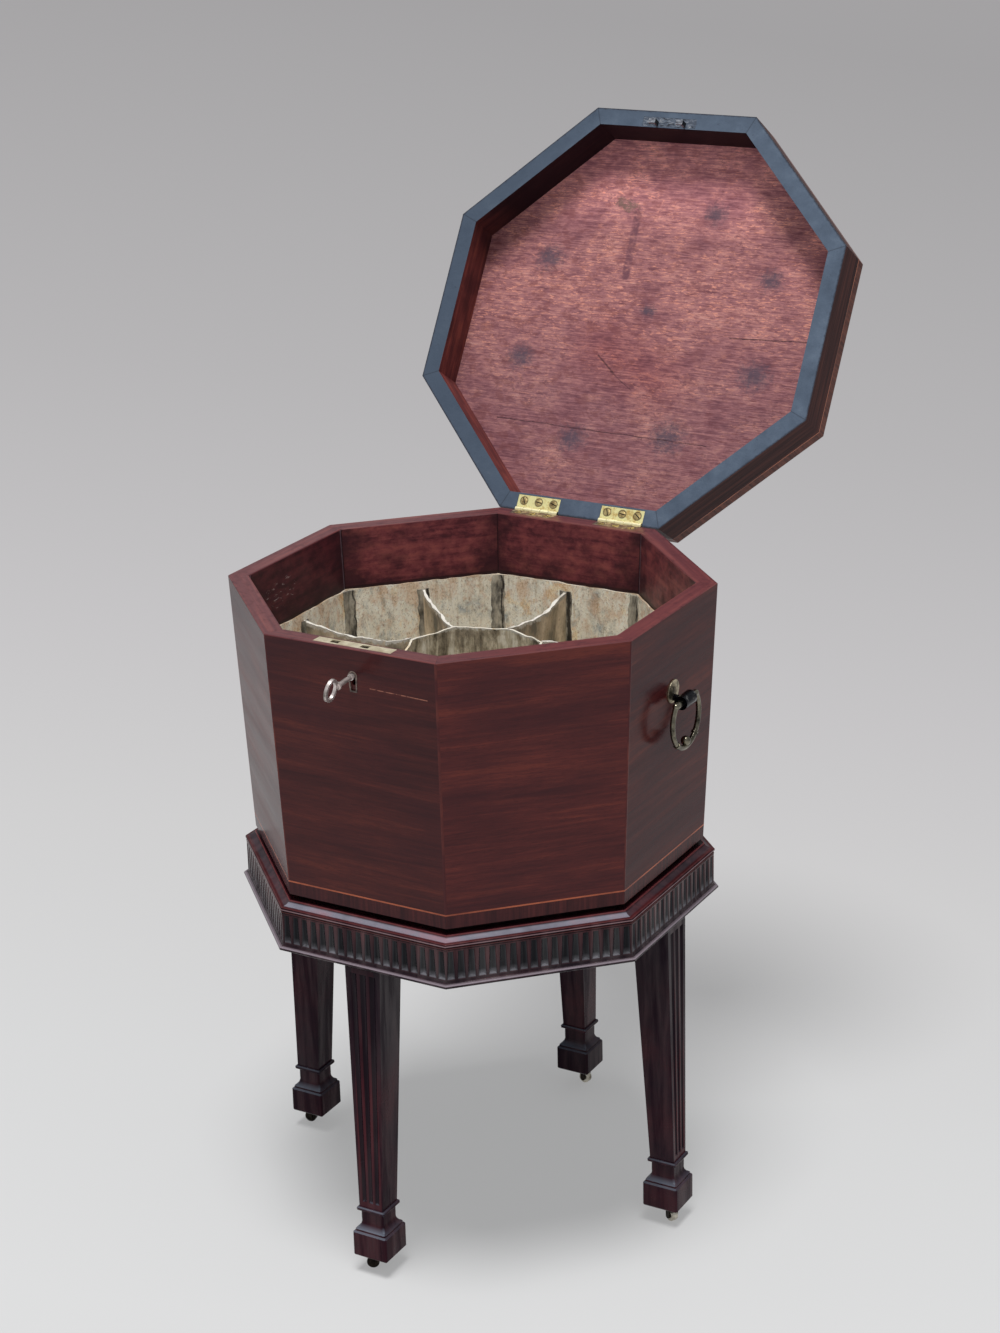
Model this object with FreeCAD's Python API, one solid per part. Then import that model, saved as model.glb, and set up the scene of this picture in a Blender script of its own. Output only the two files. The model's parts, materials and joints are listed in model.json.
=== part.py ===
"""Octagonal mahogany wine cellarette, lead lined, on a low stand with castors.

Millimetres, +Z up. The origin is on the floor under the middle of the stand. The front, with the
lock, faces -Y, the hinges are at +Y and the two ring handles at +X and -X. The lid is modelled
shut and then turned back on its hinges to the open position that it rests in.
"""

import FreeCAD, Part
import math
import os

V = FreeCAD.Vector
UP = V(0, 0, 1)

# ---------------------------------------------------------------- the octagon
SIDES = 8
HALF_SIDE_ANGLE = math.pi / SIDES
SIDE_ANGLES = {
    "right": 0.0,
    "back_right": 45.0,
    "back": 90.0,
    "back_left": 135.0,
    "left": 180.0,
    "front_left": 225.0,
    "front": 270.0,
    "front_right": 315.0,
}
LEG_SIDES = ("front", "right", "back", "left")

# ---------------------------------------------------------------- clearances
running_gap = 0.05        # radial, round a pivot or pin that turns
loose_gap = 0.3           # between flat faces that move past each other
let_in_gap = 0.1          # round a metal fitting let in to wood

# ---------------------------------------------------------------- carcase (half widths are across flats)
rim_half = 228.6
carcase_flare = 12.6      # how far each side leans out over its height
wall = 20.0
carcase_height = 275.5
rim_arris = 0.8
base_board_thickness = 15.0
base_step_depth = 6.0
string_width = 1.6
string_depth = 0.8
string_height = 13.6      # foot of the carcase to the underside of its base string
corner_string_side = 1.4
corner_string_depth = 1.3

# ---------------------------------------------------------------- stand
frieze_margin = 10.2      # from the foot of the carcase out to the face of the frieze
rail_thickness = 18.0
rail_height = 39.5
flutes_per_side = 18
flute_top_width = 6.2
flute_top_depth = 2.1
flute_foot_width = 9.0
flute_foot_depth = 2.7
flute_slope = 3.4         # height over which a flute's foot rises to the face
flute_end_margin = 7.4    # from the foot of the rail to the foot of a flute
flute_top_margin = 1.2
moulding_height = 11.7
moulding_slope = 9.1
moulding_nose = 0.9
bead_height = 6.6
bead_projection = 4.5
seat_setback = 10.0       # from the foot of the carcase in to the face of the seat
seat_width = 41.0
seat_rise = 6.3           # seat above the top of the moulding
block_side = 28.0
block_height = 32.0

# ---------------------------------------------------------------- legs and feet
leg_proud = 2.8           # from the face of the frieze out to the leg's outer face
leg_top_side = 40.0
leg_splay = 3.5           # how far the leg leans out by the ankle
ankle_side = 27.5
leg_shaft_height = 266.7
collar_height = 4.0
collar_projection = 2.7
neck_height = 22.8
neck_waist = 0.7          # how much thinner the neck is than the ankle above it
neck_flare = 4.8
foot_height = 28.5
foot_half = 19.8
foot_softening = 1.6
leg_flute_top_radius = 3.9
leg_flute_foot_radius = 2.75
leg_flute_pitch_share = 0.27
leg_flute_sink = 0.62     # depth of a leg flute, as a share of its radius
leg_flute_margin = 5.5
leg_flute_slope = 2.8     # height over which a leg flute's foot rises to the face

# ---------------------------------------------------------------- castors
castor_height = 19.0
castor_plate_radius = 12.0
castor_plate_thickness = 3.2
castor_pin_radius = 2.0
castor_pin_head_radius = 3.0
fork_crown_thickness = 2.2
fork_cheek_thickness = 1.5
fork_cheek_width = 6.0
castor_wheel_radius = 6.5
castor_wheel_width = 8.0
castor_axle_radius = 1.4
castor_trail = 7.5
castor_screw_radius = 1.1
castor_screw_head_radius = 2.1
castor_screw_length = 12.0
castor_screw_circle = 8.6
castor_screws_per_foot = 3
castor_headings = {"front": 205.0, "right": 330.0, "back": 350.0, "left": 190.0}

# ---------------------------------------------------------------- lead lining
lead_sheet = 2.5
lining_below_rim = 66.2
cell_radius = 73.0        # middle of the box to a corner of the centre cell
cell_below_rim = 75.0
divider_thickness = 3.0
divider_dip = 8.0
seam_width = 5.5          # along each wall from a corner
seam_depth = 2.2
joint_width = 5.2         # solder each side of a divider, along the wall
joint_depth = 4.2
joint_below_rim = 76.0

# ---------------------------------------------------------------- lid
lid_overhang = 3.5
lid_wall = 19.0
lid_frame_height = 42.4
lid_board_thickness = 14.6
lid_arris = 1.4
open_angle = 121.4        # from shut to the stop

# ---------------------------------------------------------------- hinges
hinge_length = 51.0
hinge_centre = 50.5       # each hinge from the middle of the back
leaf_width = 13.5
leaf_thickness = 1.6
knuckle_radius = 2.7
knuckles = 5
hinge_pin_radius = 1.35
hinge_setback = 2.8       # pin behind the back of the rim
hinge_screw_head_radius = 3.9
hinge_screw_radius = 1.5
hinge_screw_length = 11.0
hinge_screw_pitch = 18.0
hinge_screws_per_leaf = 3

# ---------------------------------------------------------------- lock and key
lock_plate_length = 86.0
lock_plate_width = 12.3
lock_plate_thickness = 2.0
lock_plate_setback = 5.5  # from the outer face of the rim
lock_slot_length = 9.1
lock_slot_width = 6.4
lock_slot_spacing = 33.0
lock_offset = -5.0        # middle of the lock and its slots, left of the middle of the front
lock_case_length = 68.0
lock_case_depth = 40.0
lock_case_sheet = 1.2
lug_length = 8.0
lug_thickness = 5.2
lug_reach = 10.0
lug_stem = 2.2
lug_foot = 2.2
link_plate_length = 64.0
link_plate_width = 10.5
link_plate_setback = 7.2  # from the outer face of the lid
link_plate_thickness = 1.2
bolt_thickness = 4.0
bolt_bar_height = 6.0
bolt_nose = 2.6
bolt_nose_length = 4.2
bolt_post = 3.0
bolt_over_key = 1.6       # bolt above the circle that the key's bit sweeps
bolt_guide_step = 1.0     # from the bar's edges to the ribs that guide it
bolt_free_travel = 2.0    # from the bolt's nose to the lug when the lock is open
talon_depth = 4.0
talon_width = 4.4
talon_far = -12.2         # right side of the left talon, from the key's axis
talon_near = -5.4         # left side of the right talon
key_below_rim = 27.2
key_shaft_radius = 2.4
key_offset = 3.0          # keyhole to the right of the middle of the front
key_reach = 28.0          # outer face to the bow
key_insertion = 12.5
key_bow_length = 20.0
key_bow_width = 23.4
key_bow_band = 3.2
key_bow_thickness = 3.0
key_collar_radius = 3.9
key_bit_radius = 8.5
key_bit_length = 4.5
key_bit_thickness = 2.0
key_turn = 12.0           # how far the key has been turned from where it goes in
drill_pin_radius = 1.1
escutcheon_half = 4.9
escutcheon_drop = 16.6    # from the middle of its round top to its foot
escutcheon_band = 1.6
escutcheon_thickness = 1.6
escutcheon_proud = 0.4

# ---------------------------------------------------------------- ring handles
handle_below_rim = 83.0
rose_radius = 12.0
rose_thickness = 2.4
post_radius = 3.4
post_tail_radius = 2.5
post_tail = 15.0
post_reach = 14.5         # outer face to the pivot
pivot_drop = 6.2          # pivot below the middle of the rose
barrel_radius = 7.0
barrel_length = 22.0
ring_radius = 29.2
ring_section = 2.7
ring_drop = 19.4          # pivot to the middle of the ring
ring_pin_radius = 2.2
ring_pin_engagement = 7.0
ring_boss_radius = 3.5
bud_radius = 5.0
bud_inset = 6.0
ring_collar_width = 2.4
ring_collar_angle = 43.0

# ---------------------------------------------------------------- heights worked out from the above
foot_bottom = castor_height
foot_top = foot_bottom + foot_height
collar_bottom = foot_top + neck_height
shaft_bottom = collar_bottom + collar_height
rail_bottom = shaft_bottom + leg_shaft_height
rail_top = rail_bottom + rail_height
moulding_top = rail_top + moulding_height
carcase_bottom = moulding_top + seat_rise
rim = carcase_bottom + carcase_height
floor_top = carcase_bottom + base_board_thickness
lining_top = rim - lining_below_rim
cell_top = rim - cell_below_rim
joint_top = rim - joint_below_rim
lid_bottom = rim + loose_gap
lid_half = rim_half + lid_overhang
base_half = rim_half - carcase_flare
frieze_half = base_half + frieze_margin
seat_half = base_half - seat_setback
leg_top_face = frieze_half + leg_proud
ankle_face = leg_top_face + leg_splay
lid_frame_top = lid_bottom + lid_frame_height
lid_top = lid_frame_top + lid_board_thickness
hinge_y = rim_half + hinge_setback
hinge_z = rim + loose_gap / 2
lean = math.atan((rim_half - base_half) / carcase_height)
rail_inner_half = frieze_half - rail_thickness
seat_opening_half = seat_half - seat_width
foot_centre = ankle_face - ankle_side / 2
key_height = rim - key_below_rim
handle_height = rim - handle_below_rim


# ================================================================ shared shapes
def turned(shape, degrees):
    """A copy of a shape, turned about the upright axis."""
    copy = shape.copy()
    copy.rotate(V(0, 0, 0), UP, degrees)
    return copy


def to_side(shape, side):
    """A copy of a shape made on the +X side, turned to the named side."""
    return turned(shape, SIDE_ANGLES[side])


def carcase_half(height):
    """Half width across flats of the tapering carcase at a height."""
    return base_half + (rim_half - base_half) * (height - carcase_bottom) / carcase_height


def inner_half(height):
    """Half width across flats inside the carcase walls."""
    return carcase_half(height) - wall


def lining_half(height):
    """Half width across flats inside the lead lining."""
    return inner_half(height) - let_in_gap - lead_sheet


def profile(points):
    """Flat face with straight edges from (radius, height) pairs, standing on the +X side."""
    corners = [V(radius, 0, height) for radius, height in points]
    return Part.Face(Part.makePolygon(corners + corners[:1]))


def curved_profile(steps):
    """Flat face from steps: a point (r, z), or an arc's middle and end as ((r, z), (r, z))."""
    start = V(steps[0][0], 0, steps[0][1])
    at = start
    edges = []
    for step in steps[1:]:
        if isinstance(step[0], tuple):
            middle = V(step[0][0], 0, step[0][1])
            end = V(step[1][0], 0, step[1][1])
            edges.append(Part.Arc(at, middle, end).toShape())
        else:
            end = V(step[0], 0, step[1])
            edges.append(Part.LineSegment(at, end).toShape())
        at = end
    edges.append(Part.LineSegment(at, start).toShape())
    return Part.Face(Part.Wire(edges))


def mitred_length(face):
    """The length of a moulding along the +X side of the octagon, mitred at both ends."""
    box = face.BoundBox
    reach = box.XMax + 5
    half = reach * math.tan(HALF_SIDE_ANGLE)
    length = face.copy()
    length.translate(V(0, -half, 0))
    length = length.extrude(V(0, 2 * half, 0))
    corners = [V(0, 0, box.ZMin - 1), V(reach, -half, box.ZMin - 1), V(reach, half, box.ZMin - 1)]
    wedge = Part.Face(Part.makePolygon(corners + corners[:1]))
    wedge = wedge.extrude(V(0, 0, box.ZLength + 2))
    return length.common(wedge)


def all_round(shape):
    """Eight separate copies of one side's piece, one for each side of the octagon."""
    return Part.Compound([turned(shape, angle) for angle in SIDE_ANGLES.values()])


def octagon(half, height, turn=0.0):
    """Octagon wire with the given half width across flats, flats facing the named sides."""
    radius = half / math.cos(HALF_SIDE_ANGLE)
    first = HALF_SIDE_ANGLE + math.radians(turn)
    corners = []
    for number in range(SIDES):
        angle = first + 2 * HALF_SIDE_ANGLE * number
        corners.append(V(radius * math.cos(angle), radius * math.sin(angle), height))
    return Part.makePolygon(corners + corners[:1])


def frustum(low_half, low, high_half, high, turn=0.0):
    """Solid octagon that tapers from one half width to another."""
    return Part.makeLoft([octagon(low_half, low, turn), octagon(high_half, high, turn)], True, True)


def block(size_x, size_y, low, high, centre_x=0.0, centre_y=0.0):
    """Upright box by its plan size, its middle in plan, and its lowest and highest level."""
    corner = V(centre_x - size_x / 2, centre_y - size_y / 2, low)
    return Part.makeBox(size_x, size_y, high - low, corner)


def on_face(shape, side, height):
    """Carry a shape to the leaning outer face: x runs along the side, y up it, z straight out."""
    angle = math.radians(SIDE_ANGLES[side])
    out_flat = V(math.cos(angle), math.sin(angle), 0)
    along = V(-math.sin(angle), math.cos(angle), 0)
    up = out_flat * math.sin(lean) + UP * math.cos(lean)
    out = out_flat * math.cos(lean) - UP * math.sin(lean)
    foot = out_flat * carcase_half(height) + UP * height
    matrix = FreeCAD.Matrix(
        along.x, up.x, out.x, foot.x,
        along.y, up.y, out.y, foot.y,
        along.z, up.z, out.z, foot.z,
        0, 0, 0, 1)
    copy = shape.copy()
    copy.transformShape(matrix)
    return copy


def screw(head_radius, shank_radius, length, grow=0.0):
    """Countersunk screw pointing down -Z with its head flush with z = 0."""
    head_depth = head_radius - shank_radius
    head = Part.makeCone(shank_radius + grow, head_radius + grow, head_depth, V(0, 0, -head_depth))
    shank = Part.makeCylinder(shank_radius + grow, length + grow, V(0, 0, -length - grow))
    return head.fuse(shank).removeSplitter()


def placed(shape, point, axis=None, degrees=0.0):
    """A copy of a shape, turned about an axis through the origin and then moved."""
    copy = shape.copy()
    if axis is not None:
        copy.rotate(V(0, 0, 0), axis, degrees)
    copy.translate(point)
    return copy


def opened(shape):
    """Turn a piece of the shut lid back on the hinges to the stop."""
    copy = shape.copy()
    copy.rotate(V(0, hinge_y, hinge_z), V(1, 0, 0), -open_angle)
    return copy


def export(name, shape):
    """Write one sub-part."""
    shape.exportStep("parts/" + name + ".step")


# ================================================================ stand
def hollow_radius(width, depth):
    """Radius of the gouge that cuts a round hollow of this width and depth."""
    return (width * width / 4 + depth * depth) / (2 * depth)


def below_slope(face, depth, foot, height):
    """What a gouge leaves under a hollow's sloping foot, which rises outwards to the face at x."""
    back = face - 2 * depth
    front = face + 8 * depth
    fall = height / depth
    outline = [
        V(back, 0, foot + (face - back) * fall),
        V(front, 0, foot - (front - face) * fall),
        V(back, 0, foot - (front - face) * fall)]
    wedge = Part.Face(Part.makePolygon(outline + outline[:1])).extrude(V(0, 8 * depth, 0))
    return placed(wedge, V(0, -4 * depth, 0))


def frieze_flute():
    """The hollow of one flute, in the middle of a side: wider downwards, with a sloping foot."""
    low = rail_bottom + flute_end_margin
    high = rail_top - flute_top_margin
    foot_radius = hollow_radius(flute_foot_width, flute_foot_depth)
    top_radius = hollow_radius(flute_top_width, flute_top_depth)
    foot = V(frieze_half - flute_foot_depth + foot_radius, 0, low - 2)
    top = V(frieze_half - flute_top_depth + top_radius, 0, high)
    run = top - foot
    cone = Part.makeCone(foot_radius, top_radius, run.Length, foot, run)
    return cone.cut(below_slope(frieze_half, flute_foot_depth, low, flute_slope))


def frieze_rail():
    """One side of the fluted frieze that ties the leg heads together."""
    rail = mitred_length(profile([
        (rail_inner_half, rail_bottom),
        (frieze_half, rail_bottom),
        (frieze_half, rail_top),
        (rail_inner_half, rail_top)]))
    pitch = 2 * frieze_half * math.tan(HALF_SIDE_ANGLE) / flutes_per_side
    one = frieze_flute()
    flutes = []
    for number in range(flutes_per_side):
        flutes.append(placed(one, V(0, (number + 0.5 - flutes_per_side / 2) * pitch, 0)))
    return rail.cut(Part.Compound(flutes))


def top_moulding():
    """Moulded edge above the frieze: fillet, cove, rounded nose and small bead."""
    cove_top = moulding_top - 0.9
    nose_top = rail_top + 0.6 * moulding_height
    nose_foot = rail_top + 0.22 * moulding_height
    inner_edge = frieze_half - moulding_slope
    nose_back = frieze_half - 1.8
    return mitred_length(curved_profile([
        (seat_half, rail_top),
        (seat_half, moulding_top),
        (inner_edge, moulding_top),
        (inner_edge, cove_top),
        ((inner_edge + 0.34 * moulding_slope, nose_top + 1.0), (nose_back - 0.8, nose_top)),
        (nose_back, nose_top),
        ((frieze_half + moulding_nose, (nose_top + nose_foot) / 2), (frieze_half - 0.3, nose_foot)),
        (frieze_half - 1.0, nose_foot - 0.4),
        ((frieze_half + 0.3, rail_top + 1.1), (frieze_half - 0.6, rail_top))]))


def bottom_bead():
    """Astragal planted round the foot of the frieze."""
    shoulder = frieze_half + bead_projection / 2
    fillet = frieze_half + bead_projection / 4
    return mitred_length(curved_profile([
        (frieze_half, rail_bottom),
        (frieze_half, rail_bottom + bead_height),
        ((frieze_half + 0.2 * bead_projection, rail_bottom + 0.76 * bead_height),
         (shoulder, rail_bottom + 0.68 * bead_height)),
        ((frieze_half + bead_projection, rail_bottom + 0.39 * bead_height),
         (shoulder, rail_bottom + 0.1 * bead_height)),
        (fillet, rail_bottom + 0.1 * bead_height),
        (fillet, rail_bottom)]))


def seat_length():
    """One side of the dark seat frame that carries the box."""
    return mitred_length(profile([
        (seat_opening_half, rail_top),
        (seat_half, rail_top),
        (seat_half, carcase_bottom),
        (seat_opening_half, carcase_bottom)]))


def corner_block():
    """Glue block in the angle between two rails, under the seat frame."""
    corner = rail_inner_half / math.cos(HALF_SIDE_ANGLE)
    angle = HALF_SIDE_ANGLE
    tip = V(corner * math.cos(angle), corner * math.sin(angle), rail_top - block_height)
    first = V(rail_inner_half, tip.y - block_side, tip.z)
    second = tip + V(-math.sin(2 * angle), math.cos(2 * angle), 0) * block_side
    base = Part.Face(Part.makePolygon([tip, second, first, tip]))
    return base.extrude(V(0, 0, block_height))


def square_turning(half_widths):
    """Square-section moulding round the foot's middle, from (half width, height) steps."""
    right = curved_profile(half_widths)
    deep = 4 * foot_half
    half = right.extrude(V(0, deep, 0))
    half.translate(V(0, -deep / 2, 0))
    quarters = [turned(half, 90 * number) for number in range(4)]
    solid = quarters[0].fuse(quarters[2])
    other = quarters[1].fuse(quarters[3])
    return solid.common(other).removeSplitter()


def leg_foot():
    """Collar, hollowed neck and block foot, centred on the upright axis."""
    ankle = ankle_side / 2
    collar = ankle + collar_projection
    waist = ankle - neck_waist
    flare = waist + neck_flare
    return square_turning([
        (0, foot_bottom),
        (foot_half - foot_softening, foot_bottom),
        (foot_half, foot_bottom + foot_softening),
        (foot_half, foot_top - foot_softening),
        (foot_half - foot_softening, foot_top),
        (flare, foot_top),
        (flare, foot_top + 0.08 * neck_height),
        ((waist + 0.25 * neck_flare, foot_top + 0.25 * neck_height), (waist, foot_top + 0.52 * neck_height)),
        (waist, collar_bottom),
        (ankle, collar_bottom),
        ((collar, collar_bottom + collar_height / 2), (ankle, shaft_bottom)),
        (0, shaft_bottom)])


def leg_square(face, side, height):
    """Square wire of a leg's section, its outer side on the given face."""
    corners = [
        V(face, -side / 2, height),
        V(face, side / 2, height),
        V(face - side, side / 2, height),
        V(face - side, -side / 2, height)]
    return Part.makePolygon(corners + corners[:1])


def leg_flute(number):
    """Tapering hollow down the outer face of the leg; number is -1, 0 or 1."""
    low = shaft_bottom + leg_flute_margin
    high = rail_bottom - leg_flute_margin
    foot_x = ankle_face + leg_flute_foot_radius * (1 - leg_flute_sink)
    top_x = leg_top_face + leg_flute_top_radius * (1 - leg_flute_sink)
    foot = V(foot_x, number * leg_flute_pitch_share * ankle_side, low)
    top = V(top_x, number * leg_flute_pitch_share * leg_top_side, high)
    run = top - foot
    cone = Part.makeCone(leg_flute_foot_radius, leg_flute_top_radius, run.Length, foot, run)
    depth = leg_flute_foot_radius * leg_flute_sink
    slope = below_slope(ankle_face, depth, low, leg_flute_slope)
    return cone.cut(placed(slope, V(0, foot.y, 0)))


def leg():
    """Tapering leg with three flutes in its outer face, a block foot, and a head behind the rail."""
    shaft = Part.makeLoft([
        leg_square(ankle_face, ankle_side, shaft_bottom),
        leg_square(leg_top_face, leg_top_side, rail_bottom)], True, True)
    head_inner = leg_top_face - leg_top_side
    head_depth = rail_inner_half - head_inner
    head = block(head_depth, leg_top_side, rail_bottom, rail_top, head_inner + head_depth / 2)
    shaft = shaft.cut(Part.Compound([leg_flute(number) for number in (-1, 0, 1)]))
    foot = placed(leg_foot(), V(foot_centre, 0, 0))
    whole = shaft.fuse([head, foot]).removeSplitter()
    return whole.cut(castor_screw_group(let_in_gap))


# ================================================================ castors
def castor_plate():
    """Round plate under the foot, with the riveted pin that the fork turns on."""
    plate_bottom = castor_height - castor_plate_thickness
    plate = Part.makeCylinder(castor_plate_radius, castor_plate_thickness, V(foot_centre, 0, plate_bottom))
    crown_bottom = plate_bottom - loose_gap - fork_crown_thickness
    pin = Part.makeCylinder(castor_pin_radius, plate_bottom - crown_bottom, V(foot_centre, 0, crown_bottom))
    head_depth = castor_pin_head_radius - castor_pin_radius
    head = Part.makeCone(castor_pin_head_radius, castor_pin_radius, head_depth,
                         V(foot_centre, 0, crown_bottom))
    return plate.fuse([pin, head]).removeSplitter().cut(castor_screw_group(let_in_gap))


def castor_screw_group(grow=0.0):
    """The screws that hold one castor plate, pointing up into the foot."""
    one = screw(castor_screw_head_radius, castor_screw_radius, castor_screw_length, grow)
    plate_bottom = castor_height - castor_plate_thickness
    group = []
    for number in range(castor_screws_per_foot):
        angle = 2 * math.pi * number / castor_screws_per_foot
        point = V(foot_centre + castor_screw_circle * math.cos(angle),
                  castor_screw_circle * math.sin(angle), plate_bottom)
        group.append(placed(one, point, V(1, 0, 0), 180))
    return Part.Compound(group)


def castor_fork():
    """Swivelling horn with its axle, trailing along +X from a pivot on the upright axis."""
    crown_top = castor_height - castor_plate_thickness - loose_gap
    crown_bottom = crown_top - fork_crown_thickness
    cheek_y = castor_wheel_width / 2 + loose_gap
    outer = cheek_y + fork_cheek_thickness
    axle_z = castor_wheel_radius
    crown = Part.makeCylinder(outer + 0.6, fork_crown_thickness, V(0, 0, crown_bottom))
    bridge = block(castor_trail + fork_cheek_width / 2, 2 * outer, crown_bottom, crown_top,
                   (castor_trail + fork_cheek_width / 2) / 2)
    cheeks = []
    for sign in (-1, 1):
        middle = sign * (cheek_y + fork_cheek_thickness / 2)
        end = V(castor_trail, middle - fork_cheek_thickness / 2, axle_z)
        cheeks.append(block(fork_cheek_width, fork_cheek_thickness, axle_z, crown_top, castor_trail, middle))
        cheeks.append(Part.makeCylinder(fork_cheek_width / 2, fork_cheek_thickness, end, V(0, 1, 0)))
    fork = crown.fuse([bridge] + cheeks).removeSplitter()
    pin_hole = Part.makeCylinder(castor_pin_radius + running_gap, 3 * fork_crown_thickness,
                                 V(0, 0, crown_bottom - fork_crown_thickness))
    head_depth = castor_pin_head_radius - castor_pin_radius
    head_hole = Part.makeCone(castor_pin_head_radius + running_gap, castor_pin_radius + running_gap,
                              head_depth, V(0, 0, crown_bottom))
    axle = Part.makeCylinder(castor_axle_radius, 2 * outer, V(castor_trail, -outer, axle_z), V(0, 1, 0))
    fork = fork.cut(Part.Compound([pin_hole, head_hole, axle]))
    return Part.Compound([fork, axle])


def castor_wheel():
    """Small wheel with softened edges, on the trailing fork's axle."""
    rim_edge = 0.9
    half = castor_wheel_width / 2
    bore = castor_axle_radius + running_gap
    outline = [
        V(bore, 0, -half),
        V(castor_wheel_radius - rim_edge, 0, -half),
        V(castor_wheel_radius, 0, -half + rim_edge),
        V(castor_wheel_radius, 0, half - rim_edge),
        V(castor_wheel_radius - rim_edge, 0, half),
        V(bore, 0, half)]
    section = Part.Face(Part.makePolygon(outline + outline[:1]))
    wheel = section.revolve(V(0, 0, 0), UP, 360)
    return placed(wheel, V(castor_trail, 0, castor_wheel_radius), V(1, 0, 0), 90)


def to_foot(shape, side):
    """Carry a castor piece from the upright axis to a foot, turned to that castor's own heading."""
    angle = math.radians(SIDE_ANGLES[side])
    foot = V(foot_centre * math.cos(angle), foot_centre * math.sin(angle), 0)
    return placed(shape, foot, UP, castor_headings[side])


# ================================================================ carcase
def panel_board():
    """One leaning, mitred wall of the carcase, rebated for the string near its foot."""
    string_low = carcase_bottom + string_height
    string_high = string_low + string_width
    return mitred_length(profile([
        (inner_half(carcase_bottom), carcase_bottom),
        (base_half, carcase_bottom),
        (carcase_half(string_low), string_low),
        (carcase_half(string_low) - string_depth, string_low),
        (carcase_half(string_high) - string_depth, string_high),
        (carcase_half(string_high), string_high),
        (carcase_half(rim - rim_arris), rim - rim_arris),
        (rim_half - rim_arris, rim),
        (rim_half - wall + rim_arris, rim),
        (inner_half(rim - rim_arris), rim - rim_arris)]))


def base_string():
    """Light string inlaid near the foot of one wall."""
    low = carcase_bottom + string_height
    high = low + string_width
    return mitred_length(profile([
        (carcase_half(low) - string_depth, low),
        (carcase_half(low), low),
        (carcase_half(high), high),
        (carcase_half(high) - string_depth, high)]))


def corner_string():
    """Light string let in to the upright corner between two walls."""
    wires = []
    for height in (carcase_bottom + string_height + string_width, rim - rim_arris):
        corner = carcase_half(height) / math.cos(HALF_SIDE_ANGLE)
        angle = HALF_SIDE_ANGLE
        tip = V(corner * math.cos(angle), corner * math.sin(angle), height)
        first = tip - V(0, corner_string_side, 0)
        second = tip + V(-math.sin(2 * angle), math.cos(2 * angle), 0) * corner_string_side
        back = tip - V(math.cos(angle), math.sin(angle), 0) * corner_string_depth
        wires.append(Part.makePolygon([tip, second, back, first, tip]))
    return Part.makeLoft(wires, True, True)


def panel():
    """A plain wall with the rebates for its two corner strings."""
    string = corner_string()
    return panel_board().cut(Part.Compound([string, turned(string, -360 / SIDES)]))


def base_board():
    """Floor of the carcase, stepped below to drop in to the stand's seat frame."""
    floor = frustum(inner_half(carcase_bottom), carcase_bottom, inner_half(floor_top), floor_top)
    step_half = seat_opening_half - loose_gap
    step = frustum(step_half, carcase_bottom - base_step_depth, step_half, carcase_bottom)
    return floor.fuse(step)


# ================================================================ lead lining
def lead_lining():
    """Tray of sheet lead dressed in to the carcase, open at the top."""
    gap = let_in_gap
    outer = frustum(inner_half(floor_top) - gap, floor_top, inner_half(lining_top) - gap, lining_top)
    inner_floor = floor_top + lead_sheet
    inner = frustum(lining_half(inner_floor), inner_floor, lining_half(lining_top + 5), lining_top + 5)
    return outer.cut(inner)


def cell_sheet():
    """One wall of the centre cell, on the +X side before it is turned half a side round."""
    flat = cell_radius * math.cos(HALF_SIDE_ANGLE)
    low = floor_top + lead_sheet
    return mitred_length(profile([
        (flat - lead_sheet, low),
        (flat, low),
        (flat, cell_top),
        (flat - lead_sheet, cell_top)]))


def centre_cell():
    """Eight soldered sheets round the middle bottle, corners towards the walls' middles."""
    return turned(all_round(cell_sheet()), 180 / SIDES)


def divider():
    """Sheet from a corner of the centre cell to the middle of a wall, with a dipped top edge."""
    low = floor_top + lead_sheet
    inner = cell_radius - lead_sheet
    dip = ((cell_radius + lining_half(cell_top)) / 2, cell_top - divider_dip)
    face = curved_profile([
        (inner, low),
        (lining_half(low), low),
        (lining_half(cell_top), cell_top),
        (dip, (inner, cell_top))])
    sheet = face.extrude(V(0, divider_thickness, 0))
    sheet.translate(V(0, -divider_thickness / 2, 0))
    core = frustum(cell_radius * math.cos(HALF_SIDE_ANGLE), low - 1,
                   cell_radius * math.cos(HALF_SIDE_ANGLE), cell_top + 1, 180 / SIDES)
    return sheet.cut(core)


def corner_seam():
    """Wiped solder down a corner of the lining."""
    wires = []
    for height in (floor_top + lead_sheet, lining_top):
        corner = lining_half(height) / math.cos(HALF_SIDE_ANGLE)
        angle = HALF_SIDE_ANGLE
        tip = V(corner * math.cos(angle), corner * math.sin(angle), height)
        first = tip - V(0, seam_width, 0)
        second = tip + V(-math.sin(2 * angle), math.cos(2 * angle), 0) * seam_width
        reach = seam_width * math.sin(angle) + seam_depth
        front = tip - V(math.cos(angle), math.sin(angle), 0) * reach
        wires.append(Part.makePolygon([tip, second, front, first, tip]))
    return Part.makeLoft(wires, True, True)


def divider_joint(sign):
    """Solder on one side of the joint between a divider and the wall."""
    wires = []
    side = sign * divider_thickness / 2
    for height in (floor_top + lead_sheet, joint_top):
        face = lining_half(height)
        wires.append(Part.makePolygon([
            V(face, side, height),
            V(face, side + sign * joint_width, height),
            V(face - joint_depth, side, height),
            V(face, side, height)]))
    return Part.makeLoft(wires, True, True)


def solder_seams():
    """All the solder in the lining: corners, and both sides of each divider's joint."""
    pieces = []
    for angle in SIDE_ANGLES.values():
        pieces.append(turned(corner_seam(), angle))
        pieces.append(turned(divider_joint(1), angle))
        pieces.append(turned(divider_joint(-1), angle))
    return Part.Compound(pieces)


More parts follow.
